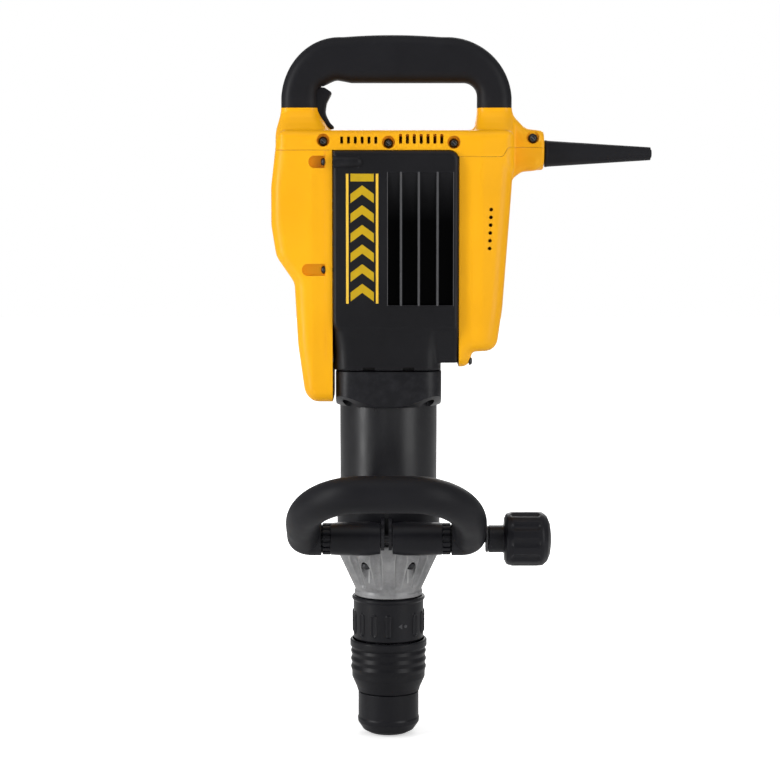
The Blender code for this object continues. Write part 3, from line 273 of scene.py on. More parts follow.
def crowned(name, corners, half, edge, seg=8, layers=7):
    """A plate in XZ whose rim is rounded over, lofted through inward offsets of its outline."""
    area = sum(corners[i - 1][0] * corners[i][1] - corners[i][0] * corners[i - 1][1]
               for i in range(len(corners)))
    if area < 0:
        corners = corners[::-1]
    rings = []
    for k in range(layers + 1):
        lean = math.pi / 2 * k / layers
        outline = fillet(offset(corners, edge * (1 - math.sin(lean))), seg)
        rings.append((outline, half - edge * (1 - math.cos(lean))))
    both = [(outline, -y) for outline, y in rings] + rings[::-1]
    return skin(name, [[(x * MM, y * MM, z * MM) for x, z in outline] for outline, y in both])


def turned(name, profile, steps=96, form=None, dense=None, matrix=None):
    """A turned body: an open profile (radius, height, fillet) from axis to axis, or a closed
    ring when it starts off the axis. form(angle, radius, height) may change the radius at each
    point, and dense is the longest step along the profile."""
    path = rounded_path(profile)
    closed = path[0][0] > 1e-6
    if closed:
        path.append(path[0])
    if dense:
        path = subdivided(path, dense)
    if closed:
        path.pop()
    shape = bmesh.new()
    rows = []
    for radius, height in path:
        if radius < 1e-6:
            # one vertex on the axis stands for the whole ring
            rows.append([shape.verts.new((0, 0, height * MM))] * steps)
            continue
        ring = []
        for k in range(steps):
            angle = 2 * math.pi * k / steps
            out = form(angle, radius, height) if form else radius
            spot = (out * math.cos(angle) * MM, out * math.sin(angle) * MM, height * MM)
            ring.append(shape.verts.new(spot))
        rows.append(ring)
    pairs = list(zip(rows, rows[1:]))
    if closed:
        pairs.append((rows[-1], rows[0]))
    for low, high in pairs:
        for i in range(steps):
            # quads, or triangles where two corners share the axis vertex
            corners = dict.fromkeys((low[i - 1], low[i], high[i], high[i - 1]))
            shape.faces.new(tuple(corners))
    return from_shape(name, shape, matrix)


def block(low, high, bevel=0, seg=3):
    low, high = Vector(low), Vector(high)
    shape = bmesh.new()
    scale = Matrix.Diagonal((*((high - low) * MM), 1))
    bmesh.ops.create_cube(shape, size=1, matrix=Matrix.Translation((low + high) / 2 * MM) @ scale)
    if bevel:
        bmesh.ops.bevel(shape, geom=shape.edges[:], offset=bevel * MM, segments=seg,
                        profile=0.5, affect="EDGES")
    return from_shape("tool", shape)


def flank_block(side, x_span, depths, z_span, bevel=0, seg=3):
    """A block on the front or back; depths are its distances from the middle plane."""
    y0, y1 = sorted(side * depth for depth in depths)
    return block((x_span[0], y0, z_span[0]), (x_span[1], y1, z_span[1]), bevel, seg)


def rod(radius, start, end, steps=48):
    start, end = Vector(start), Vector(end)
    shape = bmesh.new()
    turn = (end - start).to_track_quat("Z", "Y").to_matrix().to_4x4()
    bmesh.ops.create_cone(
        shape, cap_ends=True, segments=steps, radius1=radius * MM, radius2=radius * MM,
        depth=(end - start).length * MM, matrix=Matrix.Translation((start + end) / 2 * MM) @ turn)
    return from_shape("tool", shape)


def boolean(obj, tools, kind):
    """One exact Boolean with all the tools at once."""
    group = bpy.data.collections.new("tools")
    SCENE.collection.children.link(group)
    for tool in tools:
        group.objects.link(tool)
    mod = obj.modifiers.new("tool", "BOOLEAN")
    mod.operation = kind
    mod.solver = "EXACT"
    mod.operand_type = "COLLECTION"
    mod.collection = group
    bake(obj)
    drop(*tools)
    bpy.data.collections.remove(group)


def cut(obj, *tools):
    boolean(obj, tools, "DIFFERENCE")


def join(obj, *tools):
    boolean(obj, tools, "UNION")


def keep(obj, region):
    """The part of obj inside one region mesh."""
    mod = obj.modifiers.new("tool", "BOOLEAN")
    mod.operation = "INTERSECT"
    mod.solver = "EXACT"
    mod.object = region
    bake(obj)
    drop(region)
    return obj


def voxel(obj, size, smooth):
    """Fuse overlapping meshes into one skin and soften it."""
    mod = obj.modifiers.new("remesh", "REMESH")
    mod.mode = "VOXEL"
    mod.voxel_size = size * MM
    mod = obj.modifiers.new("smooth", "SMOOTH")
    mod.factor = 0.5
    mod.iterations = smooth
    return bake(obj)


def done(obj, body, mat, slot, *nodes, smooth=35):
    """Material, shading, the body it rides on, and the CAD nodes it stands for."""
    obj.data.transform(Matrix.Translation(HAMMER))
    obj.data.materials.clear()
    obj.data.materials.append(mat)
    obj.data.shade_smooth()
    obj.data.set_sharp_from_angle(angle=math.radians(smooth))
    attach(obj, body)
    if nodes:
        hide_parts(*nodes)


# ---------------------------------------------------------------- materials
class Tree:
    """A short way to write a node tree."""

    def __init__(self, name):
        self.mat = bpy.data.materials.new(name)
        self.mat.use_nodes = True
        self.nodes, self.links = self.mat.node_tree.nodes, self.mat.node_tree.links
        self.bsdf = self.nodes["Principled BSDF"]
        self.coords = self.nodes.new("ShaderNodeTexCoord")

    def feed(self, socket, value):
        """Give a socket a number, a colour or a link."""
        if isinstance(value, tuple):
            socket.default_value = (*value, 1)
        elif isinstance(value, (int, float)):
            socket.default_value = value
        else:
            self.links.new(value, socket)

    def set(self, key, value):
        self.feed(self.bsdf.inputs[key], value)

    def noise(self, scale, detail=3, rough=0.5, stretch=None):
        node = self.nodes.new("ShaderNodeTexNoise")
        node.inputs["Scale"].default_value = scale
        node.inputs["Detail"].default_value = detail
        node.inputs["Roughness"].default_value = rough
        place_of = self.coords.outputs["Object"]
        if stretch:
            mapping = self.nodes.new("ShaderNodeMapping")
            mapping.inputs["Scale"].default_value = stretch
            self.links.new(place_of, mapping.inputs["Vector"])
            place_of = mapping.outputs["Vector"]
        self.links.new(place_of, node.inputs["Vector"])
        return node.outputs["Fac"]

    def cells(self, scale):
        node = self.nodes.new("ShaderNodeTexVoronoi")
        node.inputs["Scale"].default_value = scale
        self.links.new(self.coords.outputs["Object"], node.inputs["Vector"])
        return node.outputs["Distance"]

    def ramp(self, fac, stops, tones):
        node = self.nodes.new("ShaderNodeValToRGB")
        elements = node.color_ramp.elements
        while len(elements) < len(stops):
            elements.new(0.5)
        for element, stop, tone in zip(elements, stops, tones):
            element.position = stop
            element.color = (*tone, 1)
        self.links.new(fac, node.inputs["Fac"])
        return node.outputs["Color"]

    def remap(self, fac, span, to=(0, 1)):
        node = self.nodes.new("ShaderNodeMapRange")
        for key, value in zip(("From Min", "From Max", "To Min", "To Max"), (*span, *to)):
            node.inputs[key].default_value = value
        self.links.new(fac, node.inputs["Value"])
        return node.outputs["Result"]

    def mix(self, fac, under, over):
        node = self.nodes.new("ShaderNodeMix")
        node.data_type = "RGBA"
        for key, value in ((0, fac), (6, under), (7, over)):
            self.feed(node.inputs[key], value)
        return node.outputs[2]

    def calc(self, kind, first, second=0):
        node = self.nodes.new("ShaderNodeMath")
        node.operation = kind
        self.feed(node.inputs[0], first)
        self.feed(node.inputs[1], second)
        return node.outputs[0]

    def distance(self, value, centre):
        """How far a value lies from a centre."""
        return self.calc("ABSOLUTE", self.calc("ADD", value, -centre))

    def edges(self, span=(0.515, 0.58)):
        """1 on sharp outer edges, 0 on flats."""
        node = self.nodes.new("ShaderNodeNewGeometry")
        return self.remap(node.outputs["Pointiness"], span)

    def bump(self, height, strength, depth_mm, below=None):
        node = self.nodes.new("ShaderNodeBump")
        node.inputs["Strength"].default_value = strength
        node.inputs["Distance"].default_value = depth_mm * MM
        self.links.new(height, node.inputs["Height"])
        if below is not None:
            self.links.new(below, node.inputs["Normal"])
        return node.outputs["Normal"]


def plastic(name, tones, wear, rough, grain, grain_mm, wear_amount, spec,
            coat=0, scuffs=0.10, dusty=0.08, shade=None):
    """Moulded plastic or paint: mottled colour, fine mould grain, scuffed edges, uneven gloss.
    tones run dark, base, light; wear is the colour of dust and rubbed edges; grain is a noise
    scale; shade may add to the colour, as the fin field's painted shade and painted highlights do."""
    tree = Tree(name)
    light = tones[2]
    broad = tree.noise(scale=9)
    fine = tree.noise(scale=140, detail=5, rough=0.6)
    colour = tree.ramp(broad, stops=(0.25, 0.5, 0.8), tones=tones)
    colour = tree.mix(tree.remap(fine, span=(0.35, 0.75), to=(0, 0.10)), colour, light)
    dust = tree.noise(scale=420, detail=6, rough=0.7)
    colour = tree.mix(tree.remap(dust, span=(0.66, 0.76), to=(0, dusty)), colour, wear)
    worn = tree.calc("MULTIPLY", tree.edges(), tree.remap(
        tree.noise(scale=90, detail=4, rough=0.65), span=(0.42, 0.68), to=(0.15, 1)))
    colour = tree.mix(tree.calc("MULTIPLY", worn, wear_amount), colour, wear)
    tree.set("Specular IOR Level", spec)
    if shade:
        colour = shade(tree, colour, spec)
    tree.set("Base Color", colour)
    gloss = tree.remap(tree.noise(scale=35, detail=4, rough=0.6),
                       span=(0.3, 0.7), to=(rough - 0.05, rough + 0.06))
    scratch = tree.remap(tree.noise(scale=60, detail=6, rough=0.75, stretch=(1, 1, 12)),
                         span=(0.62, 0.74), to=(0, scuffs))
    tree.set("Roughness", tree.calc("ADD", gloss, scratch))
    mould = tree.bump(tree.noise(scale=grain, detail=2), strength=0.35, depth_mm=grain_mm)
    tree.set("Normal", tree.bump(broad, strength=0.12, depth_mm=0.3, below=mould))
    if coat:
        tree.set("Coat Weight", coat)
        tree.set("Coat Roughness", 0.14)
    return tree.mat


def fins(tree, colour, spec):
    """The gear case's fin field: the grooves get painted shade, nearly black and with little
    gloss, and the rib crests get a grey painted highlight. Lengths in the shader are in metres."""
    ribs = (      # x in mm, how much narrower the crest is on each side
        (-1.1, 0.5), (12.7, 0), (30.8, 0), (49.8, 0), (66.1, 0.5))
    place_of = tree.nodes.new("ShaderNodeSeparateXYZ")
    tree.links.new(tree.coords.outputs["Object"], place_of.inputs[0])
    x = tree.calc("ADD", place_of.outputs["X"], -HAMMER.x)
    y = tree.distance(place_of.outputs["Y"], centre=HAMMER.y)
    z = place_of.outputs["Z"]
    field = tree.calc("MULTIPLY",
                      tree.remap(tree.distance(x, centre=0.0325), span=(0.0340, 0.0337)),
                      tree.remap(tree.distance(z, centre=0.52225), span=(0.0680, 0.0677)))
    # painted shade: a mask for the grooves of the fin field, deepest towards their floors
    groove_shade = tree.calc("MULTIPLY", field, tree.remap(y, span=(0.0545, 0.0500)))
    near = None
    for centre, narrower in ribs:
        gap = tree.calc("ADD", tree.distance(x, centre * MM), narrower * MM)
        near = gap if near is None else tree.calc("MINIMUM", near, gap)
    # painted highlight: a grey line along each rib crest, where light would catch it
    crest_highlight = tree.calc("MULTIPLY", tree.remap(near, span=(0.00135, 0.0006)),
                      tree.remap(y, span=(0.0543, 0.0547)))
    crest_highlight = tree.calc("MULTIPLY", crest_highlight, field)
    colour = tree.mix(tree.calc("MULTIPLY", crest_highlight, 0.8), under=colour, over=(0.10, 0.10, 0.105))
    # the painted groove shade lowers the gloss here and, below, darkens the colour nearly to black
    tree.set("Specular IOR Level", tree.remap(groove_shade, span=(0, 1), to=(spec, 0.02)))
    return tree.mix(groove_shade, under=colour, over=(0.001, 0.001, 0.0012))


def metal(name, tones, rough, brushed=(1, 1, 14), wear_amount=0.4):
    """Bare metal: machining marks drawn out by brushed, stains and bright worn edges."""
    tree = Tree(name)
    stain = tree.noise(scale=28, detail=5, rough=0.65)
    colour = tree.ramp(stain, stops=(0.25, 0.55, 0.85), tones=tones)
    lines = tree.noise(scale=260, detail=4, rough=0.6, stretch=brushed)
    colour = tree.mix(tree.remap(lines, span=(0.3, 0.7), to=(0, 0.18)), colour, tones[2])
    colour = tree.mix(tree.calc("MULTIPLY", tree.edges(), wear_amount),
                      under=colour, over=(0.85, 0.85, 0.84))
    tree.set("Base Color", colour)
    tree.set("Metallic", 1)
    tree.set("Roughness", tree.remap(tree.noise(scale=70, detail=4, rough=0.6),
                                     span=(0.3, 0.7), to=(rough - 0.07, rough + 0.10)))
    low = tree.bump(tree.noise(scale=900, rough=0.6), strength=0.35, depth_mm=0.02)
    tree.set("Normal", tree.bump(lines, strength=0.25, depth_mm=0.03, below=low))
    return tree.mat


def cast_metal(name):
    """Sand-blasted cast aluminium: grainy, with darker pores and lighter rubbed edges."""
    tree = Tree(name)
    colour = tree.ramp(tree.noise(scale=40, detail=6, rough=0.7), stops=(0.28, 0.5, 0.78),
                       tones=((0.18, 0.18, 0.185), (0.29, 0.29, 0.295), (0.40, 0.40, 0.40)))
    pores = tree.cells(scale=1300)
    colour = tree.mix(tree.remap(pores, span=(0.05, 0.25), to=(0.35, 0)),
                      under=colour, over=(0.10, 0.10, 0.10))
    colour = tree.mix(tree.calc("MULTIPLY", tree.edges(span=(0.51, 0.57)), 0.5),
                      under=colour, over=(0.62, 0.62, 0.61))
    tree.set("Base Color", colour)
    tree.set("Metallic", 0.55)
    tree.set("Roughness", tree.remap(tree.noise(scale=120, detail=4, rough=0.6),
                                     span=(0.3, 0.7), to=(0.42, 0.60)))
    low = tree.bump(tree.noise(scale=1500, detail=4, rough=0.7), strength=0.6, depth_mm=0.10)
    tree.set("Normal", tree.bump(pores, strength=0.3, depth_mm=0.05, below=low))
    return tree.mat


YELLOW = plastic(
    "yellow_shell", tones=((0.88, 0.395, 0.0025), (0.96, 0.445, 0.0035), (1, 0.49, 0.006)),
    wear=(1, 0.66, 0.20), rough=0.38, grain=1500, grain_mm=0.015, wear_amount=0.20, spec=0.22,
    coat=0.02, scuffs=0.05)
RUBBER = plastic(
    "soft_grip_rubber",
    tones=((0.0060, 0.0060, 0.0078), (0.0085, 0.0085, 0.0108), (0.0130, 0.0130, 0.0162)),
    wear=(0.05, 0.05, 0.055), rough=0.50, grain=1100, grain_mm=0.05, wear_amount=0.20, spec=0.17)
BOOT = plastic(
    "boot_rubber",
    tones=((0.0042, 0.0042, 0.0055), (0.0062, 0.0062, 0.0084), (0.0100, 0.0100, 0.0130)),
    wear=(0.05, 0.05, 0.055), rough=0.38, grain=1300, grain_mm=0.04, wear_amount=0.22, spec=0.20)
BLACK = plastic(
    "black_nylon",
    tones=((0.0050, 0.0050, 0.0066), (0.0070, 0.0070, 0.0095), (0.0112, 0.0112, 0.0148)),
    wear=(0.065, 0.065, 0.075), rough=0.36, grain=1500, grain_mm=0.03, wear_amount=0.26, spec=0.21)
# the case paint gets painted shade in the fin grooves and painted highlights on the rib crests
CASE = plastic(
    "case_paint",
    tones=((0.0060, 0.0060, 0.0072), (0.0085, 0.0085, 0.0102), (0.0122, 0.0122, 0.0146)),
    wear=(0.09, 0.09, 0.10), rough=0.38, grain=1300, grain_mm=0.05, wear_amount=0.22, spec=0.17,
    shade=fins)
FLANGE = plastic(
    "flange_paint",
    tones=((0.0052, 0.0052, 0.0068), (0.0074, 0.0074, 0.0094), (0.0108, 0.0108, 0.0138)),
    wear=(0.09, 0.09, 0.10), rough=0.36, grain=1300, grain_mm=0.05, wear_amount=0.24, spec=0.20)
BARREL = plastic(
    "barrel_enamel",
    tones=((0.0058, 0.0058, 0.0074), (0.0076, 0.0076, 0.0098), (0.0102, 0.0102, 0.0132)),
    wear=(0.11, 0.11, 0.12), rough=0.32, grain=1100, grain_mm=0.02, wear_amount=0.24, spec=0.40,
    scuffs=0.02, dusty=0)
STEEL = metal("turned_steel", rough=0.30,
              tones=((0.30, 0.30, 0.31), (0.46, 0.46, 0.47), (0.62, 0.62, 0.63)))
ZINC = metal("zinc_screw", rough=0.24, wear_amount=0.5,
             tones=((0.22, 0.22, 0.22), (0.50, 0.50, 0.49), (0.78, 0.78, 0.76)))
DARK_STEEL = metal("blackened_steel", rough=0.36, wear_amount=0.25,
                   tones=((0.03, 0.03, 0.033), (0.06, 0.06, 0.064), (0.11, 0.11, 0.115)))
BOLT_DARK = metal("black_oxide_screw", rough=0.30, wear_amount=0.3,
                  tones=((0.02, 0.02, 0.022), (0.045, 0.045, 0.048), (0.09, 0.09, 0.095)))
ALUMINIUM = cast_metal("cast_nose")
BRASS = metal("brass_holder", rough=0.32, wear_amount=0.2,
              tones=((0.45, 0.32, 0.12), (0.66, 0.50, 0.22), (0.80, 0.64, 0.32)))
COPPER = metal("copper_winding", rough=0.36, brushed=(1, 8, 8), wear_amount=0.2,
               tones=((0.40, 0.16, 0.07), (0.66, 0.31, 0.15), (0.80, 0.44, 0.24)))
LAMINATE = metal("stator_laminate", rough=0.45, brushed=(30, 1, 1), wear_amount=0.2,
                 tones=((0.05, 0.05, 0.052), (0.10, 0.10, 0.105), (0.17, 0.17, 0.175)))
PRINT = plastic(
    "panel_print", tones=((0.50, 0.31, 0.004), (0.58, 0.37, 0.006), (0.64, 0.42, 0.010)),
    wear=(0.30, 0.20, 0.03), rough=0.45, grain=1500, grain_mm=0.01, wear_amount=0.2, spec=0.2)
RULE = plastic(
    "panel_rule", tones=((0.84, 0.50, 0.03), (0.92, 0.56, 0.05), (0.97, 0.62, 0.08)),
    wear=(0.60, 0.42, 0.10), rough=0.45, grain=1500, grain_mm=0.01, wear_amount=0.2, spec=0.2)
MARK = plastic(
    "moulded_mark", tones=((0.045, 0.045, 0.050), (0.060, 0.060, 0.066), (0.080, 0.080, 0.086)),
    wear=(0.1, 0.1, 0.1), rough=0.5, grain=1500, grain_mm=0.01, wear_amount=0.2, spec=0.2)


# ---------------------------------------------------------------- screws
def star(radius, matrix):
    """Cutter for a six-lobed drive recess, its mouth at the origin."""
    depth, steps = 1.9, 60
    rings = []
    for height in (0.4, -depth):
        ring = []
        for k in range(steps):
            angle = 2 * math.pi * k / steps
            out = radius * (1 + 0.15 * math.cos(6 * angle))
            ring.append((out * math.cos(angle) * MM, out * math.sin(angle) * MM, height * MM))
        rings.append(ring)
    return skin("tool", rings, matrix)


def threaded(angle, radius, height, depth, pitch):
    return radius - depth + depth * math.cos(angle + 2 * math.pi * height / pitch)


def screw(name, at, turn, node, head_r, length, head_h=3.6, shank_r=2.4, mat=ZINC, drive=2.2):
    """Pan-head screw along its own -Z with a rolled thread on the shank and a star drive."""
    def thread(angle, radius, height):
        on_shank = shank_r - 0.05 < radius < shank_r + 0.05
        if on_shank and -length + 1.5 < height < -head_h - 1:
            return threaded(angle, radius, height, depth=0.22, pitch=1.25)
        return radius
    profile = [
        (0, 0), (head_r * 0.62, 0, 1), (head_r, -head_h * 0.5, 1.6), (head_r, -head_h, 0.2),
        (shank_r, -head_h, 0.3), (shank_r, -length + 1, 0.3), (shank_r * 0.5, -length, 0.2),
        (0, -length)]
    obj = turned(name, profile, 40, thread, 0.5, place(at, turn))
    cut(obj, star(drive, place(at, turn)))
    done(obj, "body", mat, "steel", node)


# ---------------------------------------------------------------- yellow housings
def yellow_form():
    """The yellow housings as one continuous moulded form, before it is parted at its seams."""
    # outlines of (x, z, corner radius)
    left = [
        (-36, 355, 3), (-36, 625, 3), (-114, 625, 3), (-119.9, 575, 50), (-119.9, 536, 30),
        (-114.8, 504, 18), (-96.2, 477, 14), (-92.8, 414, 60), (-85.8, 364, 16), (-77.5, 355, 13)]
    right = [
        (50, 391, 1.5), (82.6, 391, 11), (86, 406.3, 4), (110.6, 407.6, 13), (116.8, 451, 60),
        (125.6, 570, 40), (127.4, 600, 20), (127.4, 625, 3), (50, 625, 3)]
    band = [(-114, 590, 1.5), (128.2, 590, 0.5), (128.2, 632.4, 8), (-112.6, 632.4, 8)]
    spine = [
        (-114, 590, 1.5), (60, 590, 0.5), (60, 545, 0.5), (125, 545, 0.5), (127.2, 583, 10),
        (138, 590.4, 10), (160.3, 592, 13), (160.3, 632.4, 5), (141, 634.6, 12),
        (128.2, 648, 14), (RIGHT_LEG[1], GRIP_SEAM, 0), (RIGHT_LEG[1], 668, 0.6),
        (RIGHT_LEG[0], 668, 0.6), (RIGHT_LEG[0], 632.4, 11), (-57, 632.4, 5), (-66, 640, 8),
        (-72.2, 653, 3), (LEFT_LEG[1], 668, 0.6), (LEFT_LEG[0], 668, 0.6),
        (LEFT_LEG[0], GRIP_SEAM, 0)]
    leg_rings = (      # z, half depth, corner radius
        (600, 47, 12), (620, 46.5, 12), (628, 43, 12), (634, 36, 12), (640, 29, 11),
        (646, 23.5, 10.5), (652, 20.4, 10.2), (658, 19.8, 10), (668, 19.8, 10))
    boss = turned("boss", [
        (0, 110), (21.4, 110), (20.6, 156), (20.4, 160.3, 3), (9, 160.3), (0, 160.3)],
        72, matrix=place((0, 0, 612.6), TO_RIGHT))
    legs = []
    # each leg spreads downward from its own span to a wider foot
    for (x0, x1), foot0, foot1 in ((LEFT_LEG, -115.2, -60), (RIGHT_LEG, 89, 128)):
        rings = []
        for z, half_y, radius in leg_rings:
            spread = smoothstep(655, 628, z)
            rings.append(rounded_section(x0 + (foot0 - x0) * spread, x1 + (foot1 - x1) * spread,
                                         half_y, z, radius))
        legs.append(loft("leg", rings))
    form = merged(
        "yellow_form", crowned("left", left, 50, 12, 8, 6), crowned("right", right, 50, 12, 8, 6),
        crowned("band", band, 50, 9, 6, 5), crowned("spine", spine, 19.9, 10, 8, 6), boss, *legs)
    voxel(form, 1.35, 9)

    # the flat flank next to the case turns back along a soft ridge on each side
    for vert in form.data.vertices:
        x, y, z = vert.co / MM
        low = smoothstep(640, 600, z)
        lip = smoothstep(611, 590, z) * smoothstep(360, 385, z)
        if x < -78:
            y *= 1 - 0.10 * (-78 - x) / 37 * low
        elif x < -50:
            y *= 1 - 0.012 * smoothstep(-78.5, -68, x) * lip
        if x > 96:
            y *= 1 - 0.10 * min((x - 96) / 31, 1) * low
        elif x > 60:
            y *= 1 - 0.022 * smoothstep(95, 83, x) * lip
        vert.co = Vector((x, y, z)) * MM
    form.data.update()
    return form


def part(form, name, outline, half=80, y=0):
    """A copy of what lies inside an XZ outline, within half of the plane at y."""
    twin = add_object(name, form.data.copy())
    return keep(twin, plate("region", outline, half, place((0, y, 0))))


def drive_cover(form):
    """The cover on the left."""
    seam_x, top = -57.1, 611.85
    cover = part(form, "drive_cover_shell",
                 [(-150, 330), (seam_x, 330), (seam_x, top), (-150, top)])
    room = [
        (-40, 394, 1), (-40, 607, 1), (-110.4, 607, 9), (-116.2, 575, 40), (-116.2, 536, 26),
        (-112.2, 506, 12), (-93.4, 480, 12), (-89.4, 414, 50), (-86.6, 394, 6)]
    # upright grooves run down both flanks
    grooves = [flank_block(side, (-64.6, -63.7), (49.2, 60), (398, 612.5)) for side, _ in SIDES]
    cut(cover, crowned("room", room, 43.6, 6, 3, 2), *grooves)
    join(cover, *[flank_block(side, (left - 1.5, -57.6), (40.6, 45.6), (z - 7.6, z + 7.4))
                  for side, _ in SIDES for _, z, left in COVER_SCREWS])
    tools = []
    for side, _ in SIDES:
        y = side * COVER_SCREW_Y
        for _, z, left in COVER_SCREWS:
            # a D-shaped pocket to the left of each screw head
            pocket = fillet([(left, z - 6.2, 5.9), (-64.3, z - 6.2, 0.8),
                             (-64.3, z + 6.2, 0.8), (left, z + 6.2, 5.9)], 10)
            tools.append(plate("tool", pocket, 10, place((0, side * 52.2, 0))))
            tools.append(rod(2.55, (-70, y, z), (-50, y, z), 24))
    cut(cover, *tools)
    done(cover, "body", YELLOW, "yellow_plastic", "drive_cover")
    for side, tag in SIDES:
        for level, z, _ in COVER_SCREWS:
            screw(f"cover_screw_{tag}_{level}", (-68.4, side * COVER_SCREW_Y, z), TO_LEFT,
                  f"drive_cover_screw_{tag}_{level}", 4.1, 17.5, mat=BOLT_DARK, drive=2)


def motor_cover(form):
    """The cover on the right."""
    cover = part(form, "motor_cover_shell", fillet([
        (72, 380, 0), (72, 605.2, 0), (116.3, 605.2, 5), (121.8, 614.85, 4), (180, 614.85, 0),
        (180, 380, 0)]))
    room = [(55, 412, 1), (107.2, 412, 9), (113, 451, 50), (121.8, 570, 40), (121, 598, 9),
            (55, 598, 1)]
    cut(cover, crowned("room", room, 43, 6, 3, 2))
    join(cover, rod(17, (97, 0, MOTOR_Z), (123, 0, MOTOR_Z)))
    cut(cover, rod(6.5, (90, 0, MOTOR_Z), (107, 0, MOTOR_Z), 32),
        rod(6.2, (100, 0, CORD_Z), (165, 0, CORD_Z), 32),
        rod(10.2, (150.4, 0, CORD_Z), (165, 0, CORD_Z), 40),
        block((105, -9, 580), (119, 9, 601)))
    tools = []
    for side, _ in SIDES:
        # a column of round holes, an upright groove and a screw hole
        for k in range(6):
            z, x = 552 - 7.9 * k, 104.4 - 0.3 * k
            tools.append(rod(1.9, (x, side * 36, z), (x, side * 60, z), 24))
        tools.append(flank_block(side, (77.2, 77.9), (49.3, 60), (438, 590)))
        y, z = side * TAB_SCREW_Y, TAB_SCREW_Z
        tools.append(rod(4.9, (82.4, y, z), (100, y, z), 32))
        tools.append(rod(2.9, (60, y, z), (90, y, z), 20))
    cut(cover, *tools)
    done(cover, "body", YELLOW, "yellow_plastic", "motor_cover")
    for side, tag in SIDES:
        screw(f"tab_screw_{tag}", (85.8, side * TAB_SCREW_Y, TAB_SCREW_Z), TO_RIGHT,
              f"motor_cover_screw_{tag}", 4.2, 14.8, head_h=3.2, mat=BOLT_DARK)


def handle_halves(form):
    """The handle housing, two shells parted on the middle plane."""
    outer, gap = 80, 0.12      # from the middle plane to each shell's far and near limits
    arc = [(61.4 + 10.4 * math.cos(math.radians(turn)),
            601.8 + 10.4 * math.sin(math.radians(turn)), 0)
           for turn in (90, 80, 70, 60, 50, 40, 30, 21)]
    region = fillet([
        (-150, HOUSING_BOTTOM, 0), *arc, (71.3, 605.5, 0), (116, 605.5, 5), (121.5, 615.1, 4),
        (180, 615.1, 0), (180, GRIP_SEAM, 0), (-150, GRIP_SEAM, 0)])
    rooms = (      # x span, z span
        ((-58, -9), (606, 626)), ((9, 57.5), (606, 626)), ((75.5, 112), (600, 626)))
    slot_rows = (      # first x, pitch, count, half width, top
        (-47.3, 6.9, 6, 1.5, 625.6), (12.3, 6.95, 7, 1.6, 628.2))
    for side, tag in SIDES:
        shell = part(form, f"handle_half_{tag}", region, (outer - gap) / 2,
                     side * (outer + gap) / 2)
        # a web stays on the middle plane behind the air slots
        tools = [flank_block(side, x_span, (3, 45.2), z_span) for x_span, z_span in rooms]
        cut(shell, *tools, block((-105, -14, 614), (-62, 14, 672)),
            rod(6.2, (93, 0, CORD_Z + 0.5), (162, 0, CORD_Z + 0.5), 32))
        tools = [block((-86, -13.2, 630), (-50, 13.2, 679)),
                 rod(10.2, (150.4, 0, CORD_Z), (162, 0, CORD_Z), 40)]
        for x, z, half_y in HANDLE_SCREWS:
            if side < 0:
                tools.append(rod(6.6, (x, -70, z + 1), (x, -half_y + 6.2, z + 1)))
                tools.append(rod(2.9, (x, -60, z), (x, 1, z), 24))
            else:
                tools.append(rod(2.9, (x, -1, z), (x, 20, z), 24))
        for first, pitch, count, half, top in slot_rows:
            for k in range(count):
                x = first + pitch * k
                tools.append(flank_block(side, (x - half, x + half), (42, 58), (618.4, top), 0.9))
        tools.append(rod(2.4, (TRIGGER_X, -18, TRIGGER_Z), (TRIGGER_X, 18, TRIGGER_Z), 24))
        cut(shell, *tools)
        done(shell, "body", YELLOW, "yellow_plastic", f"handle_shell_{tag}")
    for i, (x, z, half_y) in enumerate(HANDLE_SCREWS, 1):
        screw(f"handle_bolt_{i}", (x, -half_y + 2.6, z), TO_FRONT, f"handle_screw_{i}",
              4.8, 20 if half_y > 40 else 28, mat=BOLT_DARK, drive=2.4)


def make_yellow():
    form = yellow_form()
    drive_cover(form)
    motor_cover(form)
    handle_halves(form)
    drop(form)


# ---------------------------------------------------------------- grip, trigger and cord
def shoulder(centre_x, width, grow, start, end):
    """Elliptical shoulder of the grip between two angles in degrees."""
    angles = [math.radians(start + (end - start) * k / 30) for k in range(31)]
    return [(centre_x + (width + grow) * math.cos(angle), 662 + (66 + grow) * math.sin(angle), 0)
            for angle in angles]


def grip_corners(grow, bottom):
    """Corners (x, z, radius) of the inverted U; a negative grow gives the core inside it."""
    (left_out, left_in), (right_in, right_out) = LEFT_LEG, RIGHT_LEG
    right_x, left_x = 60, -50.5      # centres of the shoulders
    # the top bar is slightly arched
    bar = [(4 + 50 * (1 - k / 6), 728 + grow + 2 * (1 - (1 - k / 6) ** 2), 0) for k in range(13)]
    return [
        (right_out + grow, bottom, 0), *shoulder(right_x, right_out - right_x, grow, 4, 88), *bar,
        *shoulder(left_x, left_x - left_out, grow, 92, 176), (left_out - grow, bottom, 0),
        (left_in + grow, bottom, 0), (left_in + grow, 676 - grow, 11 + grow),
        (-54, 684.6 - grow, 12), (-38, 681.6 - grow, 20),
        (right_in - grow, 681.6 - grow, 14 + grow), (right_in - grow, bottom, 0)]


def make_grip():
    grip = crowned("grip_skin", grip_corners(0, 640), 19.5, 12.5, 12, 9)
    hollow = crowned("hollow", grip_corners(-5.2, 630), 14.2, 5, 6, 3)
    cut(grip, block((-200, -60, 600), (200, 60, 656)), hollow,
        block((-84, -13, 600), (-52, 13, 678.5)))
    done(grip, "body", RUBBER, "grip_rubber", "grip")


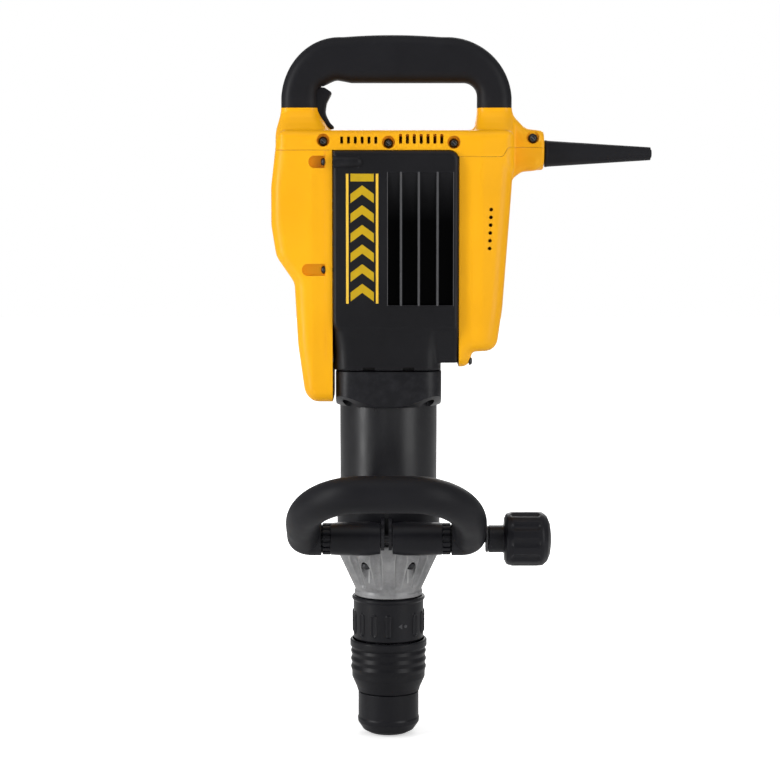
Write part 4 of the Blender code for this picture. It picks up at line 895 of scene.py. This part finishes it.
def make_trigger():
    outline = [      # x, z, corner radius
        (-58, 671.5, 2), (-63.5, 661, 12), (-65, 650, 12), (-60, 640.5, 6), (-54, 634.6, 1.8),
        (-66, 633.6, 2), (-74.5, 636.5, 4), (-78, 652, 4), (-78.5, 672, 2), (-71, 677, 2),
        (-65.5, 676.4, 2)]
    trigger = crowned("trigger_paddle", outline, 12.2, 2, 8, 4)
    cut(trigger, rod(2.3, (TRIGGER_X, -20, TRIGGER_Z), (TRIGGER_X, 20, TRIGGER_Z), 32))
    done(trigger, "trigger", BLACK, "black_plastic", "trigger")


def make_cord():
    relief = turned("cord_relief", [
        (6.5, 110), (6.7, 109.7, 0.2), (13.4, 4, 3), (13.9, 1.6, 0.6), (13.7, 0.5, 0.3),
        (9.2, 0.5), (9.2, -10), (5, -10), (5, 110)],
        dense=1.2, matrix=place((160.9, 0, CORD_Z), TO_RIGHT))
    done(relief, "body", RUBBER, "grip_rubber", "cord_sleeve")
    cord = turned("cord_stub", [
        (0, 272), (3.9, 272, 0.2), (4.4, 271.4, 0.2), (4.4, 96), (0, 96)],
        40, dense=2, matrix=place((0, 0, CORD_Z), TO_RIGHT))
    done(cord, "body", BOOT, "grip_rubber", "power_cord")


# ---------------------------------------------------------------- gear case, flange, barrel
def make_case():
    left, right = -56.5, 71.4
    upper = [(left, 428, 10), (right, 428, 1), (right, 611.6, 9.5), (left, 611.7, 0.6)]
    lower = []
    for z in (387.8, 392, 400, 410, 420, 430, 440, 452):
        rise = smoothstep(404, 452, z)
        lower.append(rounded_section(left, 54.4, 54.6 + 0.3 * rise, z, 20 - 13 * rise, 10))
    flare = [rounded_section(20, right, 48.5 + 6.2 * smoothstep(396, 440, z), z, 4.5)
             for z in (395.6, 400, 410, 420, 430, 440, 452)]
    case = voxel(merged("case_body", crowned("upper", upper, 55, 4.5, 8, 5),
                        loft("lower", lower), loft("flare", flare)), 1.25, 6)
    # square off the outside below and to the right, and hollow the inside
    cut(case, block((-90, -70, 370), (90, 70, 388)), block((53.7, -70, 380), (90, 70, 395.4)),
        block((-48, -46.5, 401), (46, 46.5, 606.5)), block((45, -46.5, 448), (90, 46.5, 606.5)),
        block((71.45, -70, 380), (90, 70, 640)))

    # each groove between the fins is deepest at its foot and runs out near its top
    groove = [      # distance from the middle plane, z
        (60, 455), (49.2, 455), (49.4, 530), (51.4, 562), (54.1, 589), (54.6, 589.5), (60, 589.5)]
    tools = []
    for side, _ in SIDES:
        for span in ((-0.6, 11.4), (14, 29.4), (32.2, 48.4), (51.2, 65.6)):
            tools.append(skin("tool", [[(x * MM, side * y * MM, z * MM) for y, z in groove]
                                       for x in span]))
        # two tapered notches in the bottom edge
        for x0, x1 in ((-27.2, -12.6), (13.6, 27.4)):
            notch = [(x0, 386), (x1, 386), (x1 - 1.6, 391.6), (x0 + 1.6, 391.6)]
            tools.append(plate("tool", notch, 6.5, place((0, side * 53.5, 0))))
        y = side * TAB_SCREW_Y
        tools.append(rod(2.9, (68, y, TAB_SCREW_Z), (73, y, TAB_SCREW_Z), 20))
        y = side * COVER_SCREW_Y
        for _, z, _ in COVER_SCREWS:
            tools.append(rod(2.9, (-58, y, z), (-44, y, z), 20))
    for radius, z, steps in ((6.5, MOTOR_Z, 32), (6.7, MID_Z, 32), (21, CRANK_Z, 64)):
        tools.append(rod(radius, (-70, 0, z), (-40, 0, z), steps))
    tools.append(rod(31, (0, 0, 380), (0, 0, 410), 64))
    for _, x, y in FLANGE_SCREWS:
        tools.append(rod(3.4, (x, y, 380), (x, y, 399), 24))
    cut(case, *tools)
    # a round-ended lug lies along x on the top left of each flank
    join(case, *[turned("lug", [
        (0, -25), (2.6, -25.3, 1), (5.2, -27.4, 2.4), (6.4, -31, 2.6), (6.5, -36, 1),
        (6.5, -55.9), (0, -55.9)], 64, matrix=place((0, side * 51.4, 600), TO_RIGHT))
        for side, _ in SIDES])
    done(case, "body", CASE, "black_paint", "gearcase", smooth=30)


def make_panels():
    """Printed panels on the front and back: two rules and a ladder of chevrons between them."""
    face, thick = 55.15, 0.8      # outer face from the middle plane, thickness
    left, middle, right = -38.4, -26.6, -14.8
    bottom, top = 456.8, 588.2
    for side, tag in SIDES:
        def bar(x0, x1, z0):
            return flank_block(side, (x0, x1), (face - thick, face), (z0, top), 0.12, 1)
        rules = [bar(-43, -40.4, bottom), bar(-12.8, -10.2, bottom)]
        chevrons = []
        for k in range(6):
            z = 459 + 19.9 * k
            points = [(left, z), (middle, z + 8.8), (right, z), (right, z + 9.2),
                      (middle, z + 18), (left, z + 9.2)]
            at = place((0, side * (face - thick / 2), 0))
            chevrons.append(plate("chevron", points, thick / 2, at))
        chevrons.append(bar(left, right, 580.4))
        done(merged(f"panel_rules_{tag}", *rules), "body", RULE, "yellow_plastic")
        done(merged(f"panel_chevrons_{tag}", *chevrons), "body", PRINT, "yellow_plastic")


def make_flange():
    square = [(-54.2, -54.2, 20), (54.4, -54.2, 20), (54.4, 54.2, 20), (-54.2, 54.2, 20)]
    levels = (      # z, inset
        (387, 1), (386.6, 0.3), (385.9, 0), (351, 0), (350.2, 0.3), (349.8, 1))
    flange = loft("flange_body", [[(x, y, z) for x, y in fillet(offset(square, inset), 14)]
                                  for z, inset in levels])
    skirt = turned("skirt", [(53, 340), (53, 349), (92, 380.5), (92, 340)], 160)
    cut(flange, skirt, rod(51, (0, 0, 340), (0, 0, 381), 128),
        rod(31, (0, 0, 370), (0, 0, 395), 64))
    tools = []
    for _, x, y in FLANGE_SCREWS:
        tools.append(rod(7.4, (x, y, 340), (x, y, 368)))
        tools.append(rod(3.4, (x, y, 360), (x, y, 390), 24))
    cut(flange, *tools)
    done(flange, "body", FLANGE, "black_paint", "barrel_flange")
    for name, x, y in FLANGE_SCREWS:
        screw(f"flange_bolt_{name}", (x, y, 363.6), TO_DOWN, f"flange_screw_{name}",
              5.2, 32, head_h=4, shank_r=3, drive=2.6)


def make_barrel():
    barrel = turned("barrel_sleeve", [
        (44, 380), (49.9, 380), (50.5, 379.2, 0.3), (50.5, 208, 0.6), (49.8, 206.8, 0.6),
        (44, 206.8)], 160, dense=6)
    done(barrel, "body", BARREL, "barrel_paint", "barrel_tube")


# ---------------------------------------------------------------- nose cone and chuck
def scallop(angle, radius, pitch, centre_r, scallop_r, blend):
    """A radius hollowed by round scallops, pitch degrees apart, centred centre_r off the axis."""
    pitch = math.radians(pitch)
    off = (angle - pitch / 2) % pitch
    off = min(off, pitch - off)
    square = scallop_r * scallop_r - (centre_r * math.sin(off)) ** 2
    if square <= 0.01:
        return radius
    return soft_min(radius, centre_r * math.cos(off) - math.sqrt(square), blend)


def make_cone():
    def fluted(angle, radius, height):
        """Flutes that widen and move out as the cone does."""
        if radius < 30 or not 150 < height < 204:
            return radius
        rise = (height - 158) / 42
        flute_r = (4.6 + 2.6 * rise) * smoothstep(153.5, 161, height)
        if flute_r < 0.6:
            return radius
        return scallop(angle, radius, 30, 39.8 + 17.2 * rise, flute_r, 1.3)
    cone = turned("nose_casting", [
        (27, 205.9), (51.4, 205.9), (52.1, 205, 0.5), (52.2, 203, 0.5), (51.6, 190, 8),
        (34.8, 154, 2), (35.7, 151.4, 1), (35.7, 148.2, 0.5), (35, 147.5, 0.3), (27, 147.5)],
        360, fluted, 0.9)
    tools = []
    for _, x, y in NOSE_SCREWS:
        tools += [rod(5.4, (x, y, 160), (x, y, 191)), rod(2.8, (x, y, 188), (x, y, 210), 24)]
    cut(cone, *tools)
    done(cone, "body", ALUMINIUM, "cast_aluminium", "nose_cone", smooth=32)
    for name, x, y in NOSE_SCREWS:
        screw(f"nose_bolt_{name}", (x, y, 180.6), TO_DOWN, f"nose_screw_{name}",
              4.9, 20, head_h=6, shank_r=2.3, mat=BOLT_DARK)


def make_index_ring():
    mark_z, places = 119, 15
    pitch = 2 * math.pi / places

    def ribbed(angle, radius, height):
        """Long oval ribs with a raised rim, one place left free for the turning mark."""
        if radius < 36.4 or radius > 37.2:
            return radius
        rib = round((angle + math.pi / 2) / pitch)
        if rib % places == 1:
            return radius
        across = ((angle + math.pi / 2) - rib * pitch) * 36.8
        away = math.hypot(across, max(abs(height - mark_z) - 8.6, 0))
        return radius + 1.15 * smoothstep(3.7, 3, away) - 0.75 * smoothstep(2.3, 1.3, away)
    collar = turned("index_ring", [
        (24.2, 146.7), (37.2, 146.7), (38.3, 145.8, 0.5), (38.4, 143.6, 0.4), (36.9, 141.8, 0.6),
        (36.8, 102.6, 0.2), (35.6, 100.8, 0.8), (24.2, 100.8)], 480, ribbed, 0.75)
    done(collar, "chuck", BLACK, "black_plastic", "index_collar", smooth=40)

    # an arrow and a dot, trimmed to a thin shell around the collar
    shell = turned("mark_skin", [(35, 128), (37.3, 128), (37.3, 110), (35, 110)], 448)
    arrow = plate("arrow", [(10.4, mark_z), (14.4, mark_z + 2.8), (14.4, mark_z - 2.8)], 6,
                  place((0, -34, 0)))
    dot = rod(1.6, (17.9, -40, mark_z), (17.9, -28, mark_z), 24)
    marks = keep(merged("index_marks", arrow, dot), shell)
    done(marks, "chuck", MARK, "black_plastic")


def make_boots():
    boot = turned("lock_boot", [
        (38, 100.6), (39.2, 100.6, 0.3), (40.4, 99.4, 1), (40.4, 93.4, 1.4), (38.4, 90.8, 1.2),
        (39.8, 87.4, 1.9), (38.3, 83, 1.9), (39.8, 78.8, 1.9), (38.3, 74.6, 1.9),
        (39.8, 70.4, 1.9), (38.5, 66, 2), (38.4, 60, 5), (33.5, 49, 5), (32.5, 45.2, 0.6),
        (24.4, 45), (24.4, 86.5), (38, 88.5)], 160, dense=1.4)
    done(boot, "locking_sleeve", BOOT, "grip_rubber", "locking_sleeve")
    cap = turned("nose_boot", [
        (24.3, 44.2), (31.2, 44.2, 0.2), (31.8, 43.6, 0.4), (31.8, 17.4, 0.6), (32.5, 15.6, 0.7),
        (32.2, 11.6, 2.2), (26.8, 3.4, 4), (20.5, 0.1, 2.5), (11.2, 0.1, 0.8), (10, 1, 0.5),
        (10, 11.4), (24.3, 11.6)], 160, dense=1.4)
    done(cap, "chuck", BOOT, "grip_rubber", "nose_cap")


# ---------------------------------------------------------------- loop handle and clamp
def make_clamp():
    band = turned("clamp_ring", [
        (51, 242), (52.6, 242), (53.8, 241.2, 0.5), (53.8, 207.2, 0.5), (52.6, 206.5),
        (51, 206.5)], 160, dense=4)
    ear = fillet([(-84, 207.4, 3), (-51.6, 207.4, 0), (-51.6, 236, 0), (-64, 236, 8),
                  (-84, 228, 10)])
    # two ears stand forward from the ring, either side of its split
    join(band, *[plate("ear", ear, (x1 - x0) / 2,
                       place(((x0 + x1) / 2, 0, 0), Matrix.Rotation(math.pi / 2, 4, "Z")))
                 for x0, x1 in ((-7.4, -4.2), (0.2, 3.4))])
    cut(band, block((-4.2, -95, 200), (0.2, -45, 250)),
        rod(PIVOT_HOLE_R, (-20, LOOP_Y, LOOP_Z), (20, LOOP_Y, LOOP_Z), 40))
    done(band, "clamp", FLANGE, "dark_steel", "clamp_band")

    def toothed(angle, radius, height):
        if height < 51 or radius < 10:
            return radius
        return radius - 1.7 * smoothstep(-0.1, 0.35, math.cos(16 * angle))
    for tag, x, turn in (("left", -7.9, TO_LEFT), ("right", 3.9, TO_RIGHT)):
        sleeve = turned(f"clamp_collar_{tag}", [
            (PIVOT_HOLE_R, 0.1), (14.6, 0), (15.9, 0.7, 0.8), (17.2, 12, 12), (17, 40, 6),
            (16.4, 50.4, 0.4), (15.8, 51.1, 0.2), (16.2, 51.6, 0.1), (16.2, 58.6, 0.3),
            (15.6, 59.2, 0.2), (14.4, 59.2, 0.1), (14.4, 60.2, 0.1), (PIVOT_HOLE_R, 60.2)],
            192, toothed, 1.2, place((x, LOOP_Y, LOOP_Z), turn))
        done(sleeve, "clamp", BLACK, "black_plastic", f"clamp_sleeve_{tag}")


def make_loop():
    """The D-shaped tube, drawn flat as (across, out) and tilted up towards the front."""
    tube_r, end_at = 17, 66.4
    half, reach, tilt = 84, 116, math.radians(31)
    bend_across, bend_out = 60, 80      # the bend from an arm into the bar is elliptical
    arm_end = reach - bend_out
    angles = [math.pi / 2 * k / 28 for k in range(29)]
    bend = [(half - bend_across + bend_across * math.cos(angle),
             arm_end + bend_out * math.sin(angle)) for angle in angles]
    end = fillet([(-end_at, 0, 0), (-half, 0, 19), (-half, arm_end, 0)], 22)[:-1]
    flat = end + [(-across, out) for across, out in bend] + bend[::-1]
    flat += [(-across, out) for across, out in reversed(end)]
    # even out the long straight runs, so that the tube has rings all along
    path = subdivided(flat, 4, round)
    normal = Vector((0, math.sin(tilt), math.cos(tilt)))      # of the loop's plane
    rings = []
    for i, (across, out) in enumerate(path):
        step = Vector(path[min(i + 1, len(path) - 1)]) - Vector(path[max(i - 1, 0)])
        along = Vector((step.x, -step.y * math.cos(tilt), step.y * math.sin(tilt))).normalized()
        sideways = along.cross(normal).normalized()
        centre = Vector((LOOP_X + across, LOOP_Y - out * math.cos(tilt),
                         LOOP_Z + out * math.sin(tilt)))
        radius = tube_r + 1.2 * max(0, (out - 40) / 72)
        rings.append([
            tuple(centre + (sideways * math.cos(angle) + normal * math.sin(angle)) * radius)
            for angle in (2 * math.pi * k / 56 for k in range(56))])
    loop = loft("loop_grip", rings)
    cut(loop, rod(PIVOT_HOLE_R, (-130, LOOP_Y, LOOP_Z), (130, LOOP_Y, LOOP_Z), 40))
    cut(loop, rod(8.3, (-130, LOOP_Y, LOOP_Z), (-90, LOOP_Y, LOOP_Z)),
        rod(15, (98.4, LOOP_Y, LOOP_Z), (130, LOOP_Y, LOOP_Z), 64))
    done(loop, "loop", RUBBER, "grip_rubber", "loop_handle")


def make_clamp_screw():
    """The bolt through the loop's pivot, with its washer and lobed knob on the right."""
    pivot = place((0, LOOP_Y, LOOP_Z), TO_RIGHT)

    def thread(angle, radius, height):
        if 60 < height < 146.5 and 3.9 < radius < 4.2:
            return threaded(angle, radius, height, depth=0.25, pitch=1.5)
        return radius
    bolt = turned("clamp_screw", [
        (0, 148), (3.4, 148, 0.2), (4.1, 147.2, 0.2), (4.1, -90.6, 0.2), (7.4, -90.6, 0.1),
        (7.4, -95.2, 0.4), (6.4, -96.2, 0.3), (0, -96.2)], 48, thread, 0.6, pivot)
    done(bolt, "clamp", BOLT_DARK, "steel", "clamp_bolt")
    washer = turned("thrust_washer", [
        (PIVOT_HOLE_R, 101.4), (13.1, 101.4, 0.2), (13.6, 100.9, 0.3), (13.6, 99.2, 0.3),
        (13.1, 98.8, 0.2), (PIVOT_HOLE_R, 98.8)], matrix=pivot)
    done(washer, "knob_carriage", DARK_STEEL, "steel", "knob_washer")

    def lobed(angle, radius, height):
        if radius < 15:
            return radius
        centre_r = 31.8 + 9 * smoothstep(151, 160.5, height) + 6 * smoothstep(127, 119, height)
        return scallop(angle, radius, 36, centre_r, 6.3, 1.6)
    knob = turned("clamp_handwheel", [
        (0, 165.7), (8, 165.4, 4), (16, 164.3, 6), (23, 161.4, 6), (27.2, 156.6, 5),
        (27.6, 150, 3), (27.6, 126, 2), (26, 120, 3), (21.5, 117.9, 1.5), (14.2, 117.6, 1),
        (14, 116, 0.6), (14, 102.6, 0.4), (13.4, 101.9), (PIVOT_HOLE_R, 101.9),
        (PIVOT_HOLE_R, 150), (0, 150)], 360, lobed, 0.9, pivot)
    done(knob, "knob", BLACK, "black_plastic", "clamp_knob", smooth=40)


# ---------------------------------------------------------------- carried-over CAD nodes
def paint_carried():
    """Materials for the CAD nodes still shown; those not named here are steel."""
    special = {
        "switch_module": BLACK, "field_stack": LAMINATE, "armature_core": COPPER,
        "cooling_fan": BLACK, "crank_bearing": ZINC, "brush_holder_front": BRASS,
        "brush_holder_back": BRASS, "piston": ALUMINIUM}
    for name, node in NODES.items():
        if node.hide_render:
            continue
        mat = special.get(name, STEEL)
        if not node.material_slots:
            node.data.materials.append(mat)
        for slot in node.material_slots:
            slot.material = mat


# ---------------------------------------------------------------- stage, lights, camera (metres)
def make_floor():
    shape = bmesh.new()
    bmesh.ops.create_grid(shape, x_segments=2, y_segments=2, size=7)
    floor = from_shape("floor", shape, Matrix.Translation(HAMMER + Vector((0, 0, -0.001))))
    tree = Tree("floor_paint")
    tree.set("Base Color", tree.ramp(tree.noise(scale=3), stops=(0.3, 0.7),
                                     tones=((0.90, 0.90, 0.90), (0.92, 0.92, 0.92))))
    tree.set("Roughness", 0.9)
    # the floor runs out into plain white away from the object, as a studio sweep does
    far = tree.nodes.new("ShaderNodeVectorMath")
    far.operation = "LENGTH"
    tree.links.new(tree.coords.outputs["Object"], far.inputs[0])
    seen = tree.nodes.new("ShaderNodeLightPath").outputs["Is Camera Ray"]
    tree.set("Emission Color", (1, 1, 1))
    glow = tree.remap(far.outputs["Value"], span=(0.2, 1.2), to=(0.52, 1))
    tree.set("Emission Strength", tree.calc("MULTIPLY", seen, glow))
    floor.data.materials.append(tree.mat)


def make_world():
    """White to the camera; a dimmer glow, growing with height, lights the pieces."""
    world = bpy.data.worlds.new("studio")
    SCENE.world = world
    world.use_nodes = True
    nodes, links = world.node_tree.nodes, world.node_tree.links
    back = nodes["Background"]
    back.inputs["Color"].default_value = (1, 1, 1, 1)
    coords, split, ramp, path, mix = (
        nodes.new("ShaderNode" + kind)
        for kind in ("TexCoord", "SeparateXYZ", "MapRange", "LightPath", "Mix"))
    links.new(coords.outputs["Generated"], split.inputs[0])
    links.new(split.outputs["Z"], ramp.inputs["Value"])
    glow = {"From Min": 0, "From Max": 0.75, "To Min": 0.21, "To Max": 0.38}
    for key, value in glow.items():
        ramp.inputs[key].default_value = value
    links.new(path.outputs["Is Camera Ray"], mix.inputs[0])
    links.new(ramp.outputs["Result"], mix.inputs[2])
    mix.inputs[3].default_value = 1      # strength seen by the camera
    links.new(mix.outputs[0], back.inputs["Strength"])


def make_lights():
    lights = (      # name, place from the axis foot, height aimed at, width and height, watts
        ("key_left", (-1.95, -1, 0.95), 0.42, (0.42, 1.9), 33),
        ("key_right", (1.75, -1.45, 0.95), 0.42, (1.1, 1.9), 22),
        ("strip_left", (-0.50, -2.75, 0.55), 0.42, (0.10, 1.3), 1.6),
        ("strip_right", (0.62, -2.75, 0.55), 0.42, (0.10, 1.3), 1.2),
        ("top", (0.1, -0.7, 2.2), 0.5, (1.6, 1.2), 4),
        ("back", (0.3, 2.2, 1.3), 0.42, (1.6, 1.6), 20))
    for name, at, aim_z, size, power in lights:
        light = bpy.data.lights.new(name, "AREA")
        light.shape = "RECTANGLE"
        light.size, light.size_y = size
        light.energy = power
        lamp = add_object(name, light)
        lamp.location = Vector(at) + HAMMER
        beam = Vector((0, 0, aim_z)) - Vector(at)
        lamp.rotation_euler = beam.to_track_quat("-Z", "Y").to_euler()


def make_camera():
    aim, distance, pitch = Vector((0.0016, 0, 0.3633)), 2.249, math.radians(5.5)
    cam = bpy.data.cameras.new("camera")
    cam.lens, cam.sensor_width, cam.sensor_fit = 99.23, 36, "HORIZONTAL"
    cam.clip_start, cam.clip_end = 0.05, 50
    eye = add_object("camera", cam)
    eye.location = aim + HAMMER + Vector((0, -math.cos(pitch), math.sin(pitch))) * distance
    eye.rotation_euler = (math.pi / 2 - pitch, 0, 0)
    SCENE.camera = eye
    SCENE.view_settings.view_transform = "Standard"
    SCENE.view_settings.look = "None"


make_yellow()
make_grip()
make_trigger()
make_cord()
make_case()
make_panels()
make_flange()
make_barrel()
make_cone()
make_index_ring()
make_boots()
make_clamp()
make_loop()
make_clamp_screw()
paint_carried()
make_floor()
make_world()
make_lights()
make_camera()
